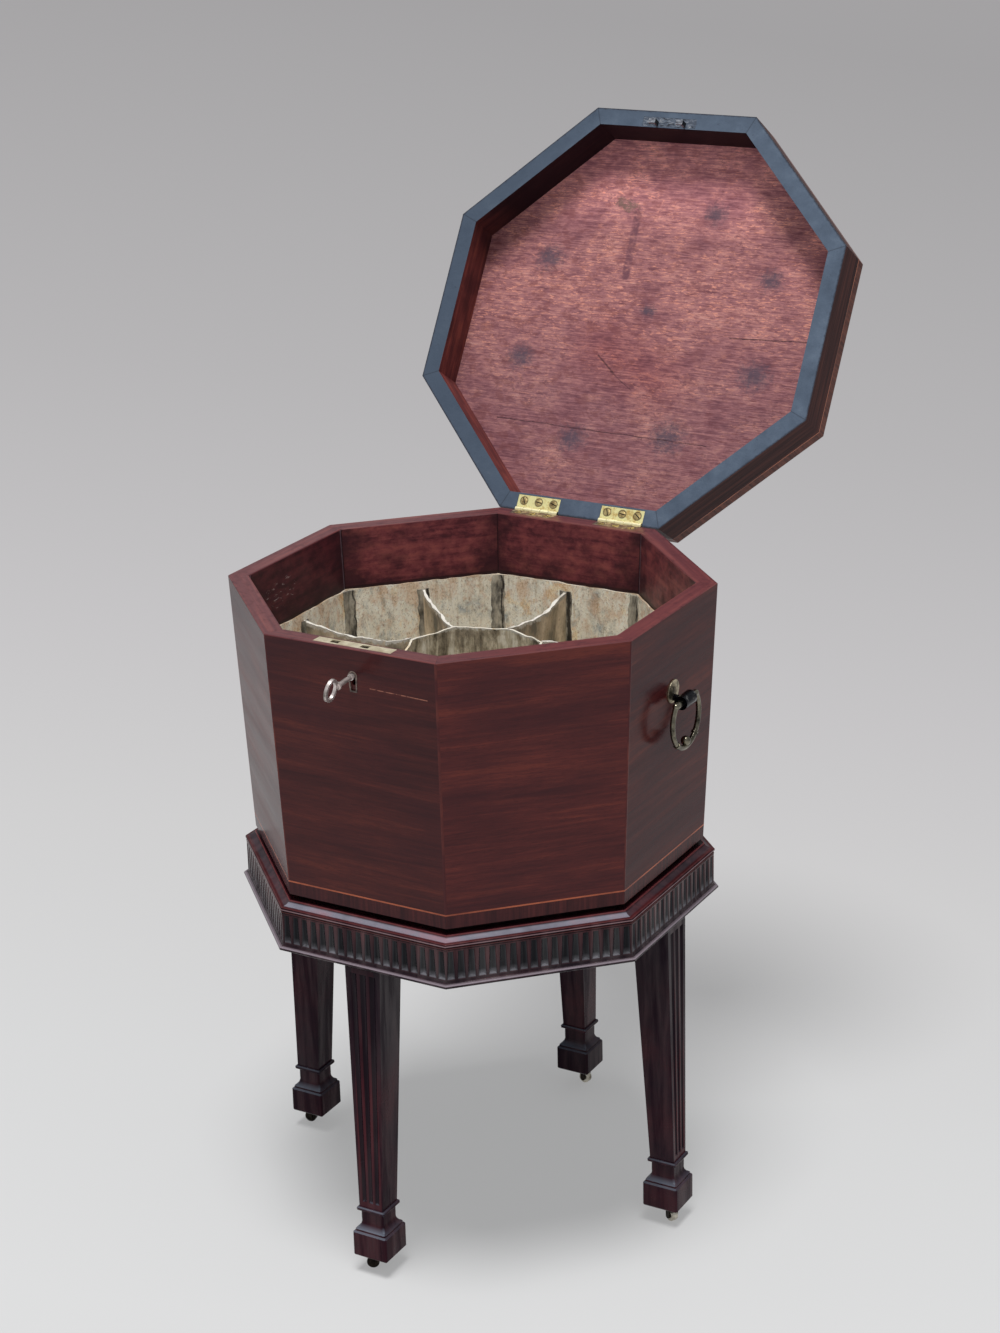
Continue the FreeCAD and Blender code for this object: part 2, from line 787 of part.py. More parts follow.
# ================================================================ lid
def lid_frame_length():
    """One mitred side of the lid's frame, rebated for its string."""
    outer = lid_half
    inner = lid_half - lid_wall
    return mitred_length(profile([
        (inner, lid_bottom),
        (outer, lid_bottom),
        (outer, lid_frame_top - string_width),
        (outer - string_depth, lid_frame_top - string_width),
        (outer - string_depth, lid_frame_top),
        (inner, lid_frame_top)]))


def lid_string():
    """Light string round the edge of the lid, at the foot of its top board."""
    return mitred_length(profile([
        (lid_half - string_depth, lid_frame_top - string_width),
        (lid_half, lid_frame_top - string_width),
        (lid_half, lid_frame_top),
        (lid_half - string_depth, lid_frame_top)]))


def lid_board():
    """Top board of the lid, with a softened upper edge."""
    body = frustum(lid_half, lid_frame_top, lid_half, lid_top - lid_arris)
    edge = frustum(lid_half, lid_top - lid_arris, lid_half - lid_arris, lid_top)
    return body.fuse(edge).removeSplitter()


def lid_frame():
    """The lid's mitred frame, let in for the hinge leaves, the knuckles and the link plate."""
    cuts = [link_plate_block(let_in_gap)]
    for centre in (-hinge_centre, hinge_centre):
        cuts.append(leaf_block(centre, lid_bottom, let_in_gap))
        cuts.append(knuckle_space(centre))
        cuts.extend(leaf_screws(centre, lid_bottom, 180, let_in_gap))
    cuts = Part.Compound(cuts)
    sides = all_round(lid_frame_length()).Solids
    return Part.Compound([side.cut(cuts) for side in sides])


# ================================================================ hinges
def leaf_block(centre, level, grow=0.0):
    """Flat of a hinge leaf, or its seat: below the rim when level is the rim, above it otherwise."""
    up = level > rim
    low = level - (0 if up else leaf_thickness + grow)
    high = level + (leaf_thickness + grow if up else 0)
    front = rim_half - leaf_width - grow
    back = hinge_y
    return block(hinge_length + 2 * grow, back - front, low, high, centre, (front + back) / 2)


def knuckle_space(centre):
    """Room for the knuckles, in the wood or between the leaves."""
    length = hinge_length + 2 * loose_gap
    start = V(centre - length / 2, hinge_y, hinge_z)
    return Part.makeCylinder(knuckle_radius + loose_gap, length, start, V(1, 0, 0))


def leaf_screws(centre, level, turn, grow=0.0):
    """The screws of one hinge leaf; turn is 0 for screws that go down and 180 for up."""
    one = screw(hinge_screw_head_radius, hinge_screw_radius, hinge_screw_length, grow)
    middle_y = rim_half - leaf_width / 2 - 0.4
    screws = []
    for number in range(hinge_screws_per_leaf):
        x = centre + (number - (hinge_screws_per_leaf - 1) / 2) * hinge_screw_pitch
        screws.append(placed(one, V(x, middle_y, level), V(1, 0, 0), turn))
    return screws


def hinge_leaf(centre, level, own, turn):
    """A leaf with its own knuckles, numbered from the left, cut away round the other leaf's."""
    pieces = [leaf_block(centre, level)]
    others = []
    pitch = hinge_length / knuckles
    for number in range(knuckles):
        start = centre - hinge_length / 2 + number * pitch
        if number % 2 == own:
            inset = loose_gap / 2
            point = V(start + inset, hinge_y, hinge_z)
            pieces.append(Part.makeCylinder(knuckle_radius, pitch - 2 * inset, point, V(1, 0, 0)))
        else:
            point = V(start - loose_gap / 2, hinge_y, hinge_z)
            others.append(Part.makeCylinder(knuckle_radius + loose_gap, pitch + loose_gap, point, V(1, 0, 0)))
    bore = Part.makeCylinder(hinge_pin_radius + running_gap, 2 * hinge_length,
                             V(centre - hinge_length, hinge_y, hinge_z), V(1, 0, 0))
    beyond = knuckle_radius + loose_gap
    flat_end = block(2 * hinge_length, beyond, rim - beyond, rim + 2 * beyond, centre, hinge_y + beyond / 2)
    flat = pieces[0].cut(flat_end).cut(Part.Compound(others))
    leaf = flat.fuse(pieces[1:]).removeSplitter()
    return leaf.cut(Part.Compound([bore] + leaf_screws(centre, level, turn)))


def hinge_pin(centre):
    """Pin through all the knuckles of one hinge."""
    start = V(centre - hinge_length / 2, hinge_y, hinge_z)
    return Part.makeCylinder(hinge_pin_radius, hinge_length, start, V(1, 0, 0))


# ================================================================ lock
def lock_y(inset):
    """Depth of a point measured inwards from the outer face of the front rim."""
    return -(rim_half - inset)


def lock_plate():
    """Brass plate in the front rim with the two slots that the lid's lugs drop through."""
    middle = lock_y(lock_plate_setback + lock_plate_width / 2)
    plate = block(lock_plate_length, lock_plate_width, rim - lock_plate_thickness, rim, 0, middle)
    return plate.cut(lock_slots(rim - 2 * lock_plate_thickness, rim + 1))


def lock_slots(low, high):
    """The two slots, as solids to cut with."""
    middle = lock_y(lock_plate_setback + lock_plate_width / 2)
    return Part.Compound([
        block(lock_slot_length, lock_slot_width, low, high, lug_x(sign), middle)
        for sign in (-1, 1)])


def lug_x(sign):
    """Place along the front of the left (-1) or right (+1) lug and its slot."""
    return lock_offset + sign * lock_slot_spacing / 2


def lock_mortise():
    """The pocket in the front wall for the lock's case and plate."""
    middle = lock_y(lock_plate_setback + lock_plate_width / 2)
    gap = 2 * let_in_gap
    seat = block(lock_plate_length + gap, lock_plate_width + gap,
                 rim - lock_plate_thickness, rim + 1, 0, middle)
    pocket = block(lock_case_length + gap, lock_case_width() + gap,
                   rim - lock_plate_thickness - lock_case_depth - let_in_gap, rim, lock_offset, middle)
    return Part.Compound([seat, pocket])


def lock_case_width():
    """Thickness of the lock's case, a little less than its plate's width."""
    return lock_plate_width - 2.0


def key_axis_piece(shape):
    """Carry a shape to the key's axis, turned as the key is: z points out of the box."""
    return at_keyhole(placed(shape, V(0, 0, 0), UP, -key_turn))


def at_keyhole(shape):
    """Carry a shape to the keyhole in the leaning front: z points out of the box."""
    return on_face(placed(shape, V(key_offset, 0, 0)), "front", key_height)


def keyway(grow=0.0):
    """Keyhole through the front wall: a round hole with a slot below it."""
    radius = key_shaft_radius + 1.0 + grow
    half = key_bit_thickness / 2 + 0.9 + grow
    hole = Part.makeCylinder(radius, wall, V(0, 0, -wall + 1))
    slot = Part.makeBox(2 * half, key_bit_radius + 1.2, wall, V(-half, -key_bit_radius - 1.2, -wall + 1))
    return hole.fuse(slot)


def bolt_bar_low():
    """Underside of the bolt's bar, over the circle that the key's bit sweeps."""
    return key_height + key_bit_radius + bolt_over_key


def bolt_guides(middle):
    """Ribs along the case's two walls, between which the bolt's bar slides."""
    low = bolt_bar_low() + bolt_guide_step
    high = bolt_bar_low() + bolt_bar_height - bolt_guide_step
    ribs = block(lock_case_length - lock_case_sheet, lock_case_width() - lock_case_sheet,
                 low, high, lock_offset, middle)
    way = block(lock_case_length, bolt_thickness + 2 * loose_gap, low - 1, high + 1, lock_offset, middle)
    return ribs.cut(way)


def lock_case():
    """Steel case under the plate, with the pin that the hollow key turns on."""
    middle = lock_y(lock_plate_setback + lock_plate_width / 2)
    top = rim - lock_plate_thickness
    bottom = top - lock_case_depth
    case = block(lock_case_length, lock_case_width(), bottom, top, lock_offset, middle)
    sheet = lock_case_sheet
    room = block(lock_case_length - 2 * sheet, lock_case_width() - 2 * sheet,
                 bottom + sheet, top + 1, lock_offset, middle)
    front_way = at_keyhole(keyway())
    behind = block(lock_case_length, 3 * wall, bottom - 5, top + 5, 0, middle + 1.5 * wall)
    case = case.cut(room).cut(front_way.cut(behind))
    pin = Part.makeCylinder(drill_pin_radius, wall + key_bit_radius, V(0, 0, -wall))
    pin = at_keyhole(pin)
    inside = block(lock_case_length, lock_case_width() - sheet, bottom, top, 0, middle + sheet / 2)
    return case.fuse([pin.common(inside), bolt_guides(middle)]).removeSplitter()


def lock_bolt():
    """Sliding bolt: two noses that hook over the lugs' feet, and two talons that the key drives."""
    middle = lock_y(lock_plate_setback + lock_plate_width / 2)
    lug_bottom = lid_bottom - lug_reach
    nose_low = lug_bottom + lug_foot + loose_gap
    nose_high = nose_low + bolt_nose
    bar_low = bolt_bar_low()
    bar_high = bar_low + bolt_bar_height
    pieces = []
    tips = []
    for sign in (-1, 1):
        tip = lug_x(sign) - lug_length / 2 - bolt_free_travel
        post_right = tip - bolt_nose_length
        pieces.append(block(bolt_nose_length, bolt_thickness, nose_low, nose_high,
                            tip - bolt_nose_length / 2, middle))
        pieces.append(block(bolt_post, bolt_thickness, bar_high, nose_high,
                            post_right - bolt_post / 2, middle))
        tips.append(tip)
    left = tips[0] - bolt_nose_length - bolt_post
    bar = block(tips[1] - left, bolt_thickness, bar_low, bar_high, (tips[1] + left) / 2, middle)
    for talon in (talon_far - talon_width / 2, talon_near + talon_width / 2):
        pieces.append(block(talon_width, bolt_thickness, bar_low - talon_depth, bar_low,
                            key_offset + talon, middle))
    return bar.fuse(pieces).removeSplitter()


def link_plate_block(grow=0.0):
    """Flat plate let in to the underside of the lid's front rim, or its seat."""
    middle = -(lid_half - link_plate_setback - link_plate_width / 2)
    return block(link_plate_length + 2 * grow, link_plate_width + 2 * grow,
                 lid_bottom, lid_bottom + link_plate_thickness + grow, lock_offset, middle)


def link_plate():
    """Steel plate in the lid with two hooked lugs that drop in to the lock."""
    middle = lock_y(lock_plate_setback + lock_plate_width / 2)
    lug_bottom = lid_bottom - lug_reach
    pieces = []
    for sign in (-1, 1):
        stem_x = lug_x(sign) + lug_length / 2 - lug_stem / 2
        pieces.append(block(lug_stem, lug_thickness, lug_bottom, lid_bottom, stem_x, middle))
        pieces.append(block(lug_length, lug_thickness, lug_bottom, lug_bottom + lug_foot,
                            lug_x(sign), middle))
    return link_plate_block().fuse(pieces).removeSplitter()


def keyhole_outline(half, drop):
    """Flat keyhole-shaped face: round at the top and square at the foot."""
    foot_half = 0.8 * half
    side = V(half, 0, 0)
    edges = [
        Part.Arc(side, V(0, half, 0), V(-half, 0, 0)).toShape(),
        Part.LineSegment(V(-half, 0, 0), V(-foot_half, -drop, 0)).toShape(),
        Part.LineSegment(V(-foot_half, -drop, 0), V(foot_half, -drop, 0)).toShape(),
        Part.LineSegment(V(foot_half, -drop, 0), side).toShape()]
    return Part.Face(Part.Wire(edges))


def escutcheon(grow=0.0):
    """Thin brass ring let in round the keyhole; grown, it is its seat in the wood."""
    outer = keyhole_outline(escutcheon_half + grow, escutcheon_drop + grow)
    depth = escutcheon_thickness + grow
    solid = outer.extrude(V(0, 0, depth))
    solid.translate(V(0, 0, escutcheon_proud - depth))
    inner_half_width = escutcheon_half - escutcheon_band
    hole = keyhole_outline(inner_half_width, escutcheon_drop - escutcheon_band)
    hole = hole.extrude(V(0, 0, 4 * depth))
    hole.translate(V(0, 0, -2 * depth))
    return at_keyhole(solid if grow else solid.cut(hole))


def oval(length, width, low, high):
    """Upright prism with an oval plan, its long axis along Z of the key."""
    ellipse = Part.Ellipse(V(0, 0, 0), max(length, width) / 2, min(length, width) / 2)
    face = Part.Face(Part.Wire([ellipse.toShape()]))
    if length < width:
        face.rotate(V(0, 0, 0), UP, 90)
    solid = face.extrude(V(0, 0, high - low))
    solid.translate(V(0, 0, low))
    return solid


def key():
    """Hollow steel key with an oval bow, lying along z and pointing in to the box."""
    shaft = Part.makeCylinder(key_shaft_radius, key_insertion + key_reach + 1.0, V(0, 0, -key_insertion))
    near_collar = Part.makeCylinder(key_collar_radius, 2.4, V(0, 0, key_reach - 3.4))
    far_collar = Part.makeCylinder(key_collar_radius - 0.6, 2.0, V(0, 0, escutcheon_proud + 1.6))
    half_thickness = key_bow_thickness / 2
    outer = oval(key_bow_length, key_bow_width, -half_thickness, half_thickness)
    hole = oval(key_bow_length - 2 * key_bow_band, key_bow_width - 2 * key_bow_band,
                -key_bow_thickness, key_bow_thickness)
    bow = placed(outer.cut(hole), V(0, 0, key_reach + key_bow_length / 2), V(0, 1, 0), -90)
    bit = Part.makeBox(key_bit_thickness, key_bit_radius, key_bit_length,
                       V(-key_bit_thickness / 2, -key_bit_radius, -key_insertion + 0.5))
    bore = Part.makeCylinder(drill_pin_radius + running_gap, key_insertion - 4, V(0, 0, -key_insertion))
    whole = shaft.fuse([near_collar, far_collar, bow, bit]).removeSplitter()
    return key_axis_piece(whole.cut(bore))


# ================================================================ ring handles
def handle_piece(shape, side):
    """Carry a handle's piece to its wall: z points out of the wall."""
    return on_face(shape, side, handle_height)


def handle_rose():
    """Round backplate with a raised middle, bored for the post."""
    plate = Part.makeCylinder(rose_radius, 0.6 * rose_thickness)
    boss = Part.makeCone(0.72 * rose_radius, 0.5 * rose_radius, 0.4 * rose_thickness,
                         V(0, 0, 0.6 * rose_thickness))
    hole = Part.makeCylinder(post_radius + let_in_gap, 4 * rose_thickness, V(0, -pivot_drop, -rose_thickness))
    return plate.fuse(boss).removeSplitter().cut(hole)


def handle_post():
    """Post screwed in to the wall, ending in the barrel that the ring is pinned in."""
    tail = Part.makeCylinder(post_tail_radius, post_tail, V(0, -pivot_drop, -post_tail))
    neck = Part.makeCylinder(post_radius, post_reach, V(0, -pivot_drop, 0))
    barrel = Part.makeCylinder(barrel_radius, barrel_length,
                               V(-barrel_length / 2, -pivot_drop, post_reach), V(1, 0, 0))
    bore = Part.makeCylinder(ring_pin_radius + running_gap, ring_pin_engagement + 0.5,
                             V(-barrel_length / 2, -pivot_drop, post_reach), V(1, 0, 0))
    far_bore = placed(bore, V(barrel_length - ring_pin_engagement - 0.5, 0, 0))
    whole = tail.fuse([neck, barrel]).removeSplitter()
    return whole.cut(Part.Compound([bore, far_bore]))


def tail_hole():
    """Hole in the wall for a handle's threaded tail."""
    return Part.makeCylinder(post_tail_radius + let_in_gap, post_tail + 1, V(0, -pivot_drop, -post_tail - 1))


def ring_pivot(side):
    """Middle of a handle's pivot."""
    point = Part.Vertex(V(0, -pivot_drop, post_reach))
    return handle_piece(point, side).Point


def ring():
    """Ring in the YZ plane below a pivot along Y at the origin, with a bud inside its foot."""
    centre = V(0, 0, -ring_drop)
    half_chord = math.sqrt(ring_radius ** 2 - ring_drop ** 2)
    gap_angle = math.degrees(math.asin(half_chord / ring_radius))
    start = V(0, half_chord, 0)
    tangent = V(0, ring_drop, -half_chord)
    section = Part.Face(Part.Wire([Part.makeCircle(ring_section, start, tangent)]))
    hoop = section.revolve(centre, V(-1, 0, 0), 360 - 2 * gap_angle)
    pieces = []
    inner_end = barrel_length / 2 - ring_pin_engagement
    face_end = barrel_length / 2 + loose_gap
    for sign in (-1, 1):
        way = V(0, -sign, 0)
        corner = V(0, sign * half_chord, 0)
        pieces.append(Part.makeSphere(ring_boss_radius, corner))
        pieces.append(Part.makeCylinder(ring_boss_radius, half_chord - face_end, corner, way))
        pieces.append(Part.makeCylinder(ring_pin_radius, half_chord - inner_end, corner, way))
        angle = math.radians(ring_collar_angle)
        middle = centre + V(0, sign * math.sin(angle), -math.cos(angle)) * ring_radius
        along = V(0, math.cos(angle), sign * math.sin(angle))
        pieces.append(Part.makeCylinder(ring_section + 0.8, ring_collar_width,
                                        middle - along * (ring_collar_width / 2), along))
    pieces.append(Part.makeSphere(bud_radius, centre + V(0, 0, -ring_radius + bud_inset)))
    return hoop.fuse(pieces).removeSplitter()


def hung_ring(side):
    """The ring hanging straight down from a side's pivot."""
    return placed(to_side(ring(), side), ring_pivot(side))


# ================================================================ assembly
def make_stand():
    rail = frieze_rail()
    export("frieze_rails", all_round(rail))
    export("stand_top_moulding", all_round(top_moulding()))
    export("stand_bottom_bead", all_round(bottom_bead()))
    export("stand_seat_frame", all_round(seat_length()))
    export("stand_corner_blocks", all_round(corner_block()))
    one_leg = leg()
    plate = castor_plate()
    screws = castor_screw_group()
    for side in LEG_SIDES:
        export("leg_" + side, to_side(one_leg, side))
        export("castor_fork_" + side, to_foot(castor_fork(), side))
        export("castor_wheel_" + side, to_foot(castor_wheel(), side))
    export("castor_plates", Part.Compound([to_side(plate, side) for side in LEG_SIDES]))
    export("castor_screws", Part.Compound([to_side(screws, side) for side in LEG_SIDES]))


def make_box():
    plain = panel()
    cuts = {side: [] for side in SIDE_ANGLES}
    cuts["front"] = [lock_mortise(), at_keyhole(keyway()), escutcheon(let_in_gap)]
    for centre in (-hinge_centre, hinge_centre):
        cuts["back"].append(leaf_block(centre, rim, let_in_gap))
        cuts["back"].append(knuckle_space(centre))
        cuts["back"].extend(leaf_screws(centre, rim, 0, let_in_gap))
    for side in ("right", "left"):
        cuts[side] = [handle_piece(tail_hole(), side)]
    for side in SIDE_ANGLES:
        wall_board = to_side(plain, side)
        if cuts[side]:
            wall_board = wall_board.cut(Part.Compound(cuts[side]))
        export("panel_" + side, wall_board)
    export("base_board", base_board())
    export("base_stringing", all_round(base_string()))
    export("corner_stringing", all_round(corner_string()))
    export("lead_lining", lead_lining())
    export("lead_centre_cell", centre_cell())
    export("lead_dividers", all_round(divider()))
    export("solder_seams", solder_seams())


def make_lid():
    export("lid_frame", opened(lid_frame()))
    export("lid_board", opened(lid_board()))
    export("lid_stringing", opened(all_round(lid_string())))
    export("lid_link_plate", opened(link_plate()))


def make_hinges():
    lower = []
    upper = []
    lower_screws = []
    upper_screws = []
    pins = []
    for centre in (-hinge_centre, hinge_centre):
        lower.append(hinge_leaf(centre, rim, 0, 0))
        upper.append(hinge_leaf(centre, lid_bottom, 1, 180))
        pins.append(hinge_pin(centre))
        lower_screws.extend(leaf_screws(centre, rim, 0))
        upper_screws.extend(leaf_screws(centre, lid_bottom, 180))
    export("hinge_lower_leaves", Part.Compound(lower))
    export("hinge_upper_leaves", opened(Part.Compound(upper)))
    export("hinge_pins", Part.Compound(pins))
    export("hinge_lower_screws", Part.Compound(lower_screws))
    export("hinge_upper_screws", opened(Part.Compound(upper_screws)))


def make_lock():
    export("lock_plate", lock_plate())
    export("lock_case", lock_case())
    export("lock_bolt", lock_bolt())
    export("keyhole_escutcheon", escutcheon())
    export("key", key())


def make_handles():
    for side in ("right", "left"):
        export("handle_rose_" + side, handle_piece(handle_rose(), side))
        export("handle_post_" + side, handle_piece(handle_post(), side))
        export("handle_ring_" + side, hung_ring(side))


os.makedirs("parts", exist_ok=True)
make_stand()
make_box()
make_lid()
make_hinges()
make_lock()
make_handles()
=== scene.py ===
"""Octagonal mahogany wine cellarette, lead lined, on a low fluted stand, with its lid open."""
import json
import math
import bmesh
import bpy
from mathutils import Matrix, Vector, noise

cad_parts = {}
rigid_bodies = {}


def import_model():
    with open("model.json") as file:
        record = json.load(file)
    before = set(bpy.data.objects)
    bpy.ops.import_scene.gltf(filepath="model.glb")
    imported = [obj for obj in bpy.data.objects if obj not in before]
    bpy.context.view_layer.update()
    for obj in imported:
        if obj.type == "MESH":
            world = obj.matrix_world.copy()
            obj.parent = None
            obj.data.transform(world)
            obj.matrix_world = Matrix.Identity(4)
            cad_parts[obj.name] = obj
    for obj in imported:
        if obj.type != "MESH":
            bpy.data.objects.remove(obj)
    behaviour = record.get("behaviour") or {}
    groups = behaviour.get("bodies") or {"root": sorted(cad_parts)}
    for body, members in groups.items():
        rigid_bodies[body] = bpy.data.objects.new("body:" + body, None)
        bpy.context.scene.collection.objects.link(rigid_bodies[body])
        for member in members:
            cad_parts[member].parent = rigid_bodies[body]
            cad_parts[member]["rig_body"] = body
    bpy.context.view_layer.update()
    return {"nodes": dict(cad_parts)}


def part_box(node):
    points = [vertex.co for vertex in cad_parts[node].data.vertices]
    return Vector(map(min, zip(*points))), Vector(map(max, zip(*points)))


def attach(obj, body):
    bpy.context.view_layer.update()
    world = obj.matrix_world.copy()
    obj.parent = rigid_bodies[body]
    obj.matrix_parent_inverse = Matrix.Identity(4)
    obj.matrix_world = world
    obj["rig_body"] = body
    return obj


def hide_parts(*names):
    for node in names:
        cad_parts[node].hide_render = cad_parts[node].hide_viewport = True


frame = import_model()
nodes = frame["nodes"]
bpy.ops.object.select_all(action="DESELECT")


# ---------------------------------------------------------------- camera, floor and light
# A pale seamless floor that darkens with distance, under an even sky and one broad soft lamp
# high in front. The camera stands to the right of the front, above the lid's height.
camera = bpy.data.objects.new("camera", bpy.data.cameras.new("camera"))
bpy.context.collection.objects.link(camera)
camera.data.lens = 72.627
camera.data.clip_end = 100.0
camera.location = (1.2967, -2.2061, 1.5202)
camera.rotation_euler = [math.radians(angle) for angle in (69.812, 1.3218, 29.34)]
bpy.context.scene.camera = camera
bpy.context.scene.view_settings.view_transform = "Standard"


def tone(red, green, blue):
    """A colour as it looks on a screen, 0 to 255, for a shader."""
    shares = [v / 255 for v in (red, green, blue)]
    return (*(v / 12.92 if v < 0.0404 else ((v + 0.055) / 1.055) ** 2.4 for v in shares), 1.0)


class Finish:
    """A finish, mixed from shader nodes on the object's own coordinates."""

    def __init__(self, name, **sockets):
        self.material = bpy.data.materials.new(name)
        self.material.use_nodes = True
        self.tree = self.material.node_tree
        self.shader = self.tree.nodes["Principled BSDF"]
        self.sockets(self.shader, sockets)

    def sockets(self, node, values):
        """Feed a node's inputs by name; a value is a number, a colour or another node's output."""
        for name, value in values.items():
            socket = node.inputs[name.replace("_", " ")] if isinstance(name, str) else node.inputs[name]
            if isinstance(value, bpy.types.NodeSocket):
                self.tree.links.new(value, socket)
            else:
                socket.default_value = value

    def add(self, kind, settings, values):
        """A new node of a kind, with its settings and what feeds its inputs."""
        node = self.tree.nodes.new("ShaderNode" + kind)
        for name, value in settings.items():
            setattr(node, name, value)
        self.sockets(node, values)
        return node

    def space(self, size=(1, 1, 1), turn=(0, 0, 0), at=(0, 0, 0), source=None):
        """Object coordinates from a point, turned, and counted in cells of a size in metres."""
        if source is None:
            source = self.add("TexCoord", {}, {}).outputs["Object"]
        return self.add("Mapping", {"vector_type": "TEXTURE"},
                        {"Vector": source, "Location": at, "Rotation": turn, "Scale": size}).outputs[0]

    def laid(self, size, turn=(0, 0, 0), at=(0, 0, 0)):
        """Where a pattern of a cell size lies on the piece."""
        return self.space(size, turn, at)

    def axis(self, vector, which):
        """One of a vector's x, y and z."""
        return self.add("SeparateXYZ", {}, {"Vector": vector}).outputs[which]

    def noise(self, vector, detail, rough=0.55, warp=0.0):
        """Cloudy noise from 0 to 1."""
        return self.add("TexNoise", {}, {"Vector": vector, "Scale": 1.0, "Detail": detail,
                                         "Roughness": rough, "Distortion": warp}).outputs[0]

    def mottle(self, size, detail, rough=0.55, warp=0.0, turn=(0, 0, 0), at=(0, 0, 0)):
        """Noise in cells of a size, where the finish is laid."""
        return self.noise(self.laid(size, turn, at), detail, rough, warp)

    def math(self, operation, first, second=0.0):
        """One sum; the six below are the ones that finishes use most."""
        return self.add("Math", {"operation": operation}, {0: first, 1: second}).outputs[0]

    def plus(self, first, second):
        return self.math("ADD", first, second)

    def less(self, first, second):
        return self.math("SUBTRACT", first, second)

    def times(self, first, second):
        return self.math("MULTIPLY", first, second)

    def larger(self, first, second):
        return self.math("MAXIMUM", first, second)

    def smaller(self, first, second):
        return self.math("MINIMUM", first, second)

    def unsigned(self, value):
        return self.math("ABSOLUTE", value)

    def span(self, value, low, high, to_low=0.0, to_high=1.0):
        """A value from low to high, carried to another range and held at its ends."""
        return self.add("MapRange", {}, {"Value": value, "From_Min": low, "From_Max": high,
                                         "To_Min": to_low, "To_Max": to_high}).outputs[0]

    def ramp(self, value, *stops):
        """A colour for each value; a stop is a place from 0 to 1 and a tone."""
        node = self.add("ValToRGB", {}, {"Fac": value})
        while len(node.color_ramp.elements) < len(stops):
            node.color_ramp.elements.new(0.5)
        for element, (place, colour) in zip(node.color_ramp.elements, stops):
            element.position = place
            element.color = tone(*colour)
        return node.outputs[0]

    def mix(self, share, first, second, blend="MIX"):
        """The first colour, with a share of the second laid over it."""
        node = self.add("Mix", {"data_type": "RGBA", "blend_type": blend, "clamp_factor": True},
                        {0: share, 6: first, 7: second})
        return node.outputs[2]

    def stain(self, share, shade):
        """Lay a share of a tone over the colour so far."""
        self.colour = self.mix(share, self.colour, tone(*shade))

    def bump(self, height, depth, under=None):
        """Relief of a depth in metres from a height of 0 to 1, over another relief."""
        values = {"Height": height, "Distance": depth, "Strength": 1.0}
        if under is not None:
            values["Normal"] = under
        return self.add("Bump", {}, values).outputs[0]

    def stroke(self, x, y, start, end, width):
        """A line drawn from start to end: 1 along its middle and 0 at its width and beyond."""
        run = Vector(end) - Vector(start)
        dx = self.less(x, start[0])
        dy = self.less(y, start[1])
        along = self.plus(self.times(dx, run.x), self.times(dy, run.y))
        along = self.span(along, 0.0, run.length_squared)
        off_x = self.less(dx, self.times(along, run.x))
        off_y = self.less(dy, self.times(along, run.y))
        square = self.plus(self.times(off_x, off_x), self.times(off_y, off_y))
        return self.span(self.math("SQRT", square), 0.0, width, 1.0, 0.0)

    def done(self, **sockets):
        """Feed the colour and the rest to the shader."""
        self.sockets(self.shader, {"Base_Color": self.colour, **sockets})
        return self.material


def dress(piece, material):
    """Give a piece one finish all over."""
    piece.data.materials.clear()
    piece.data.materials.append(material)


def studio_floor():
    """Pale floor, lighter near the object, with part of the object's shadow."""
    finish = Finish("studio_floor")
    place = finish.add("TexCoord", {}, {}).outputs["Object"]
    ahead = finish.add("VectorMath", {"operation": "DOT_PRODUCT"}, {0: place, 1: (-0.4973, 0.8676, 0.0)})
    aside = finish.add("VectorMath", {"operation": "DOT_PRODUCT"}, {0: place, 1: (0.8676, 0.4973, 0.0)})
    depth = finish.larger(finish.plus(ahead.outputs["Value"], 2.56), 1.0)
    fall = finish.math("DIVIDE", 1.52, depth)
    drift = finish.times(finish.math("DIVIDE", aside.outputs["Value"], depth), -0.16)
    shade = finish.ramp(finish.plus(fall, drift), (0.11, (161, 159, 160)), (0.26, (180, 178, 179)),
                        (0.37, (196, 194, 195)), (0.45, (206, 205, 205)), (0.56, (215, 215, 215)),
                        (0.68, (221, 221, 221)))
    path = finish.add("LightPath", {}, {})
    seen = finish.larger(path.outputs["Is Camera Ray"], path.outputs["Is Glossy Ray"])
    seen = finish.larger(seen, path.outputs["Is Transmission Ray"])
    dimmed = finish.mix(1.0, shade, (0.77, 0.77, 0.77, 1.0), "MULTIPLY")
    matt = finish.add("BsdfDiffuse", {}, {"Color": dimmed}).outputs[0]
    glow = finish.add("Emission", {}, {"Color": shade, "Strength": 1.0}).outputs[0]
    both = finish.add("MixShader", {}, {0: finish.times(seen, 0.42), 1: matt, 2: glow})
    out = finish.tree.nodes["Material Output"]
    finish.tree.links.new(both.outputs[0], out.inputs["Surface"])
    return finish.material


bpy.ops.mesh.primitive_plane_add(size=60.0, location=(0, 0, 0))
floor = bpy.context.object
floor.name = "floor"
dress(floor, studio_floor())

world = bpy.data.worlds.new("sky")
bpy.context.scene.world = world
world.use_nodes = True
world.node_tree.nodes["Background"].inputs["Color"].default_value = (0.43, 0.44, 0.455, 1.0)

lamp = bpy.data.objects.new("lamp", bpy.data.lights.new("lamp", "SUN"))
bpy.context.collection.objects.link(lamp)
lamp.data.energy = 3.0
lamp.data.angle = math.radians(22)
lamp.rotation_euler = (math.radians(9), math.radians(2), 0)


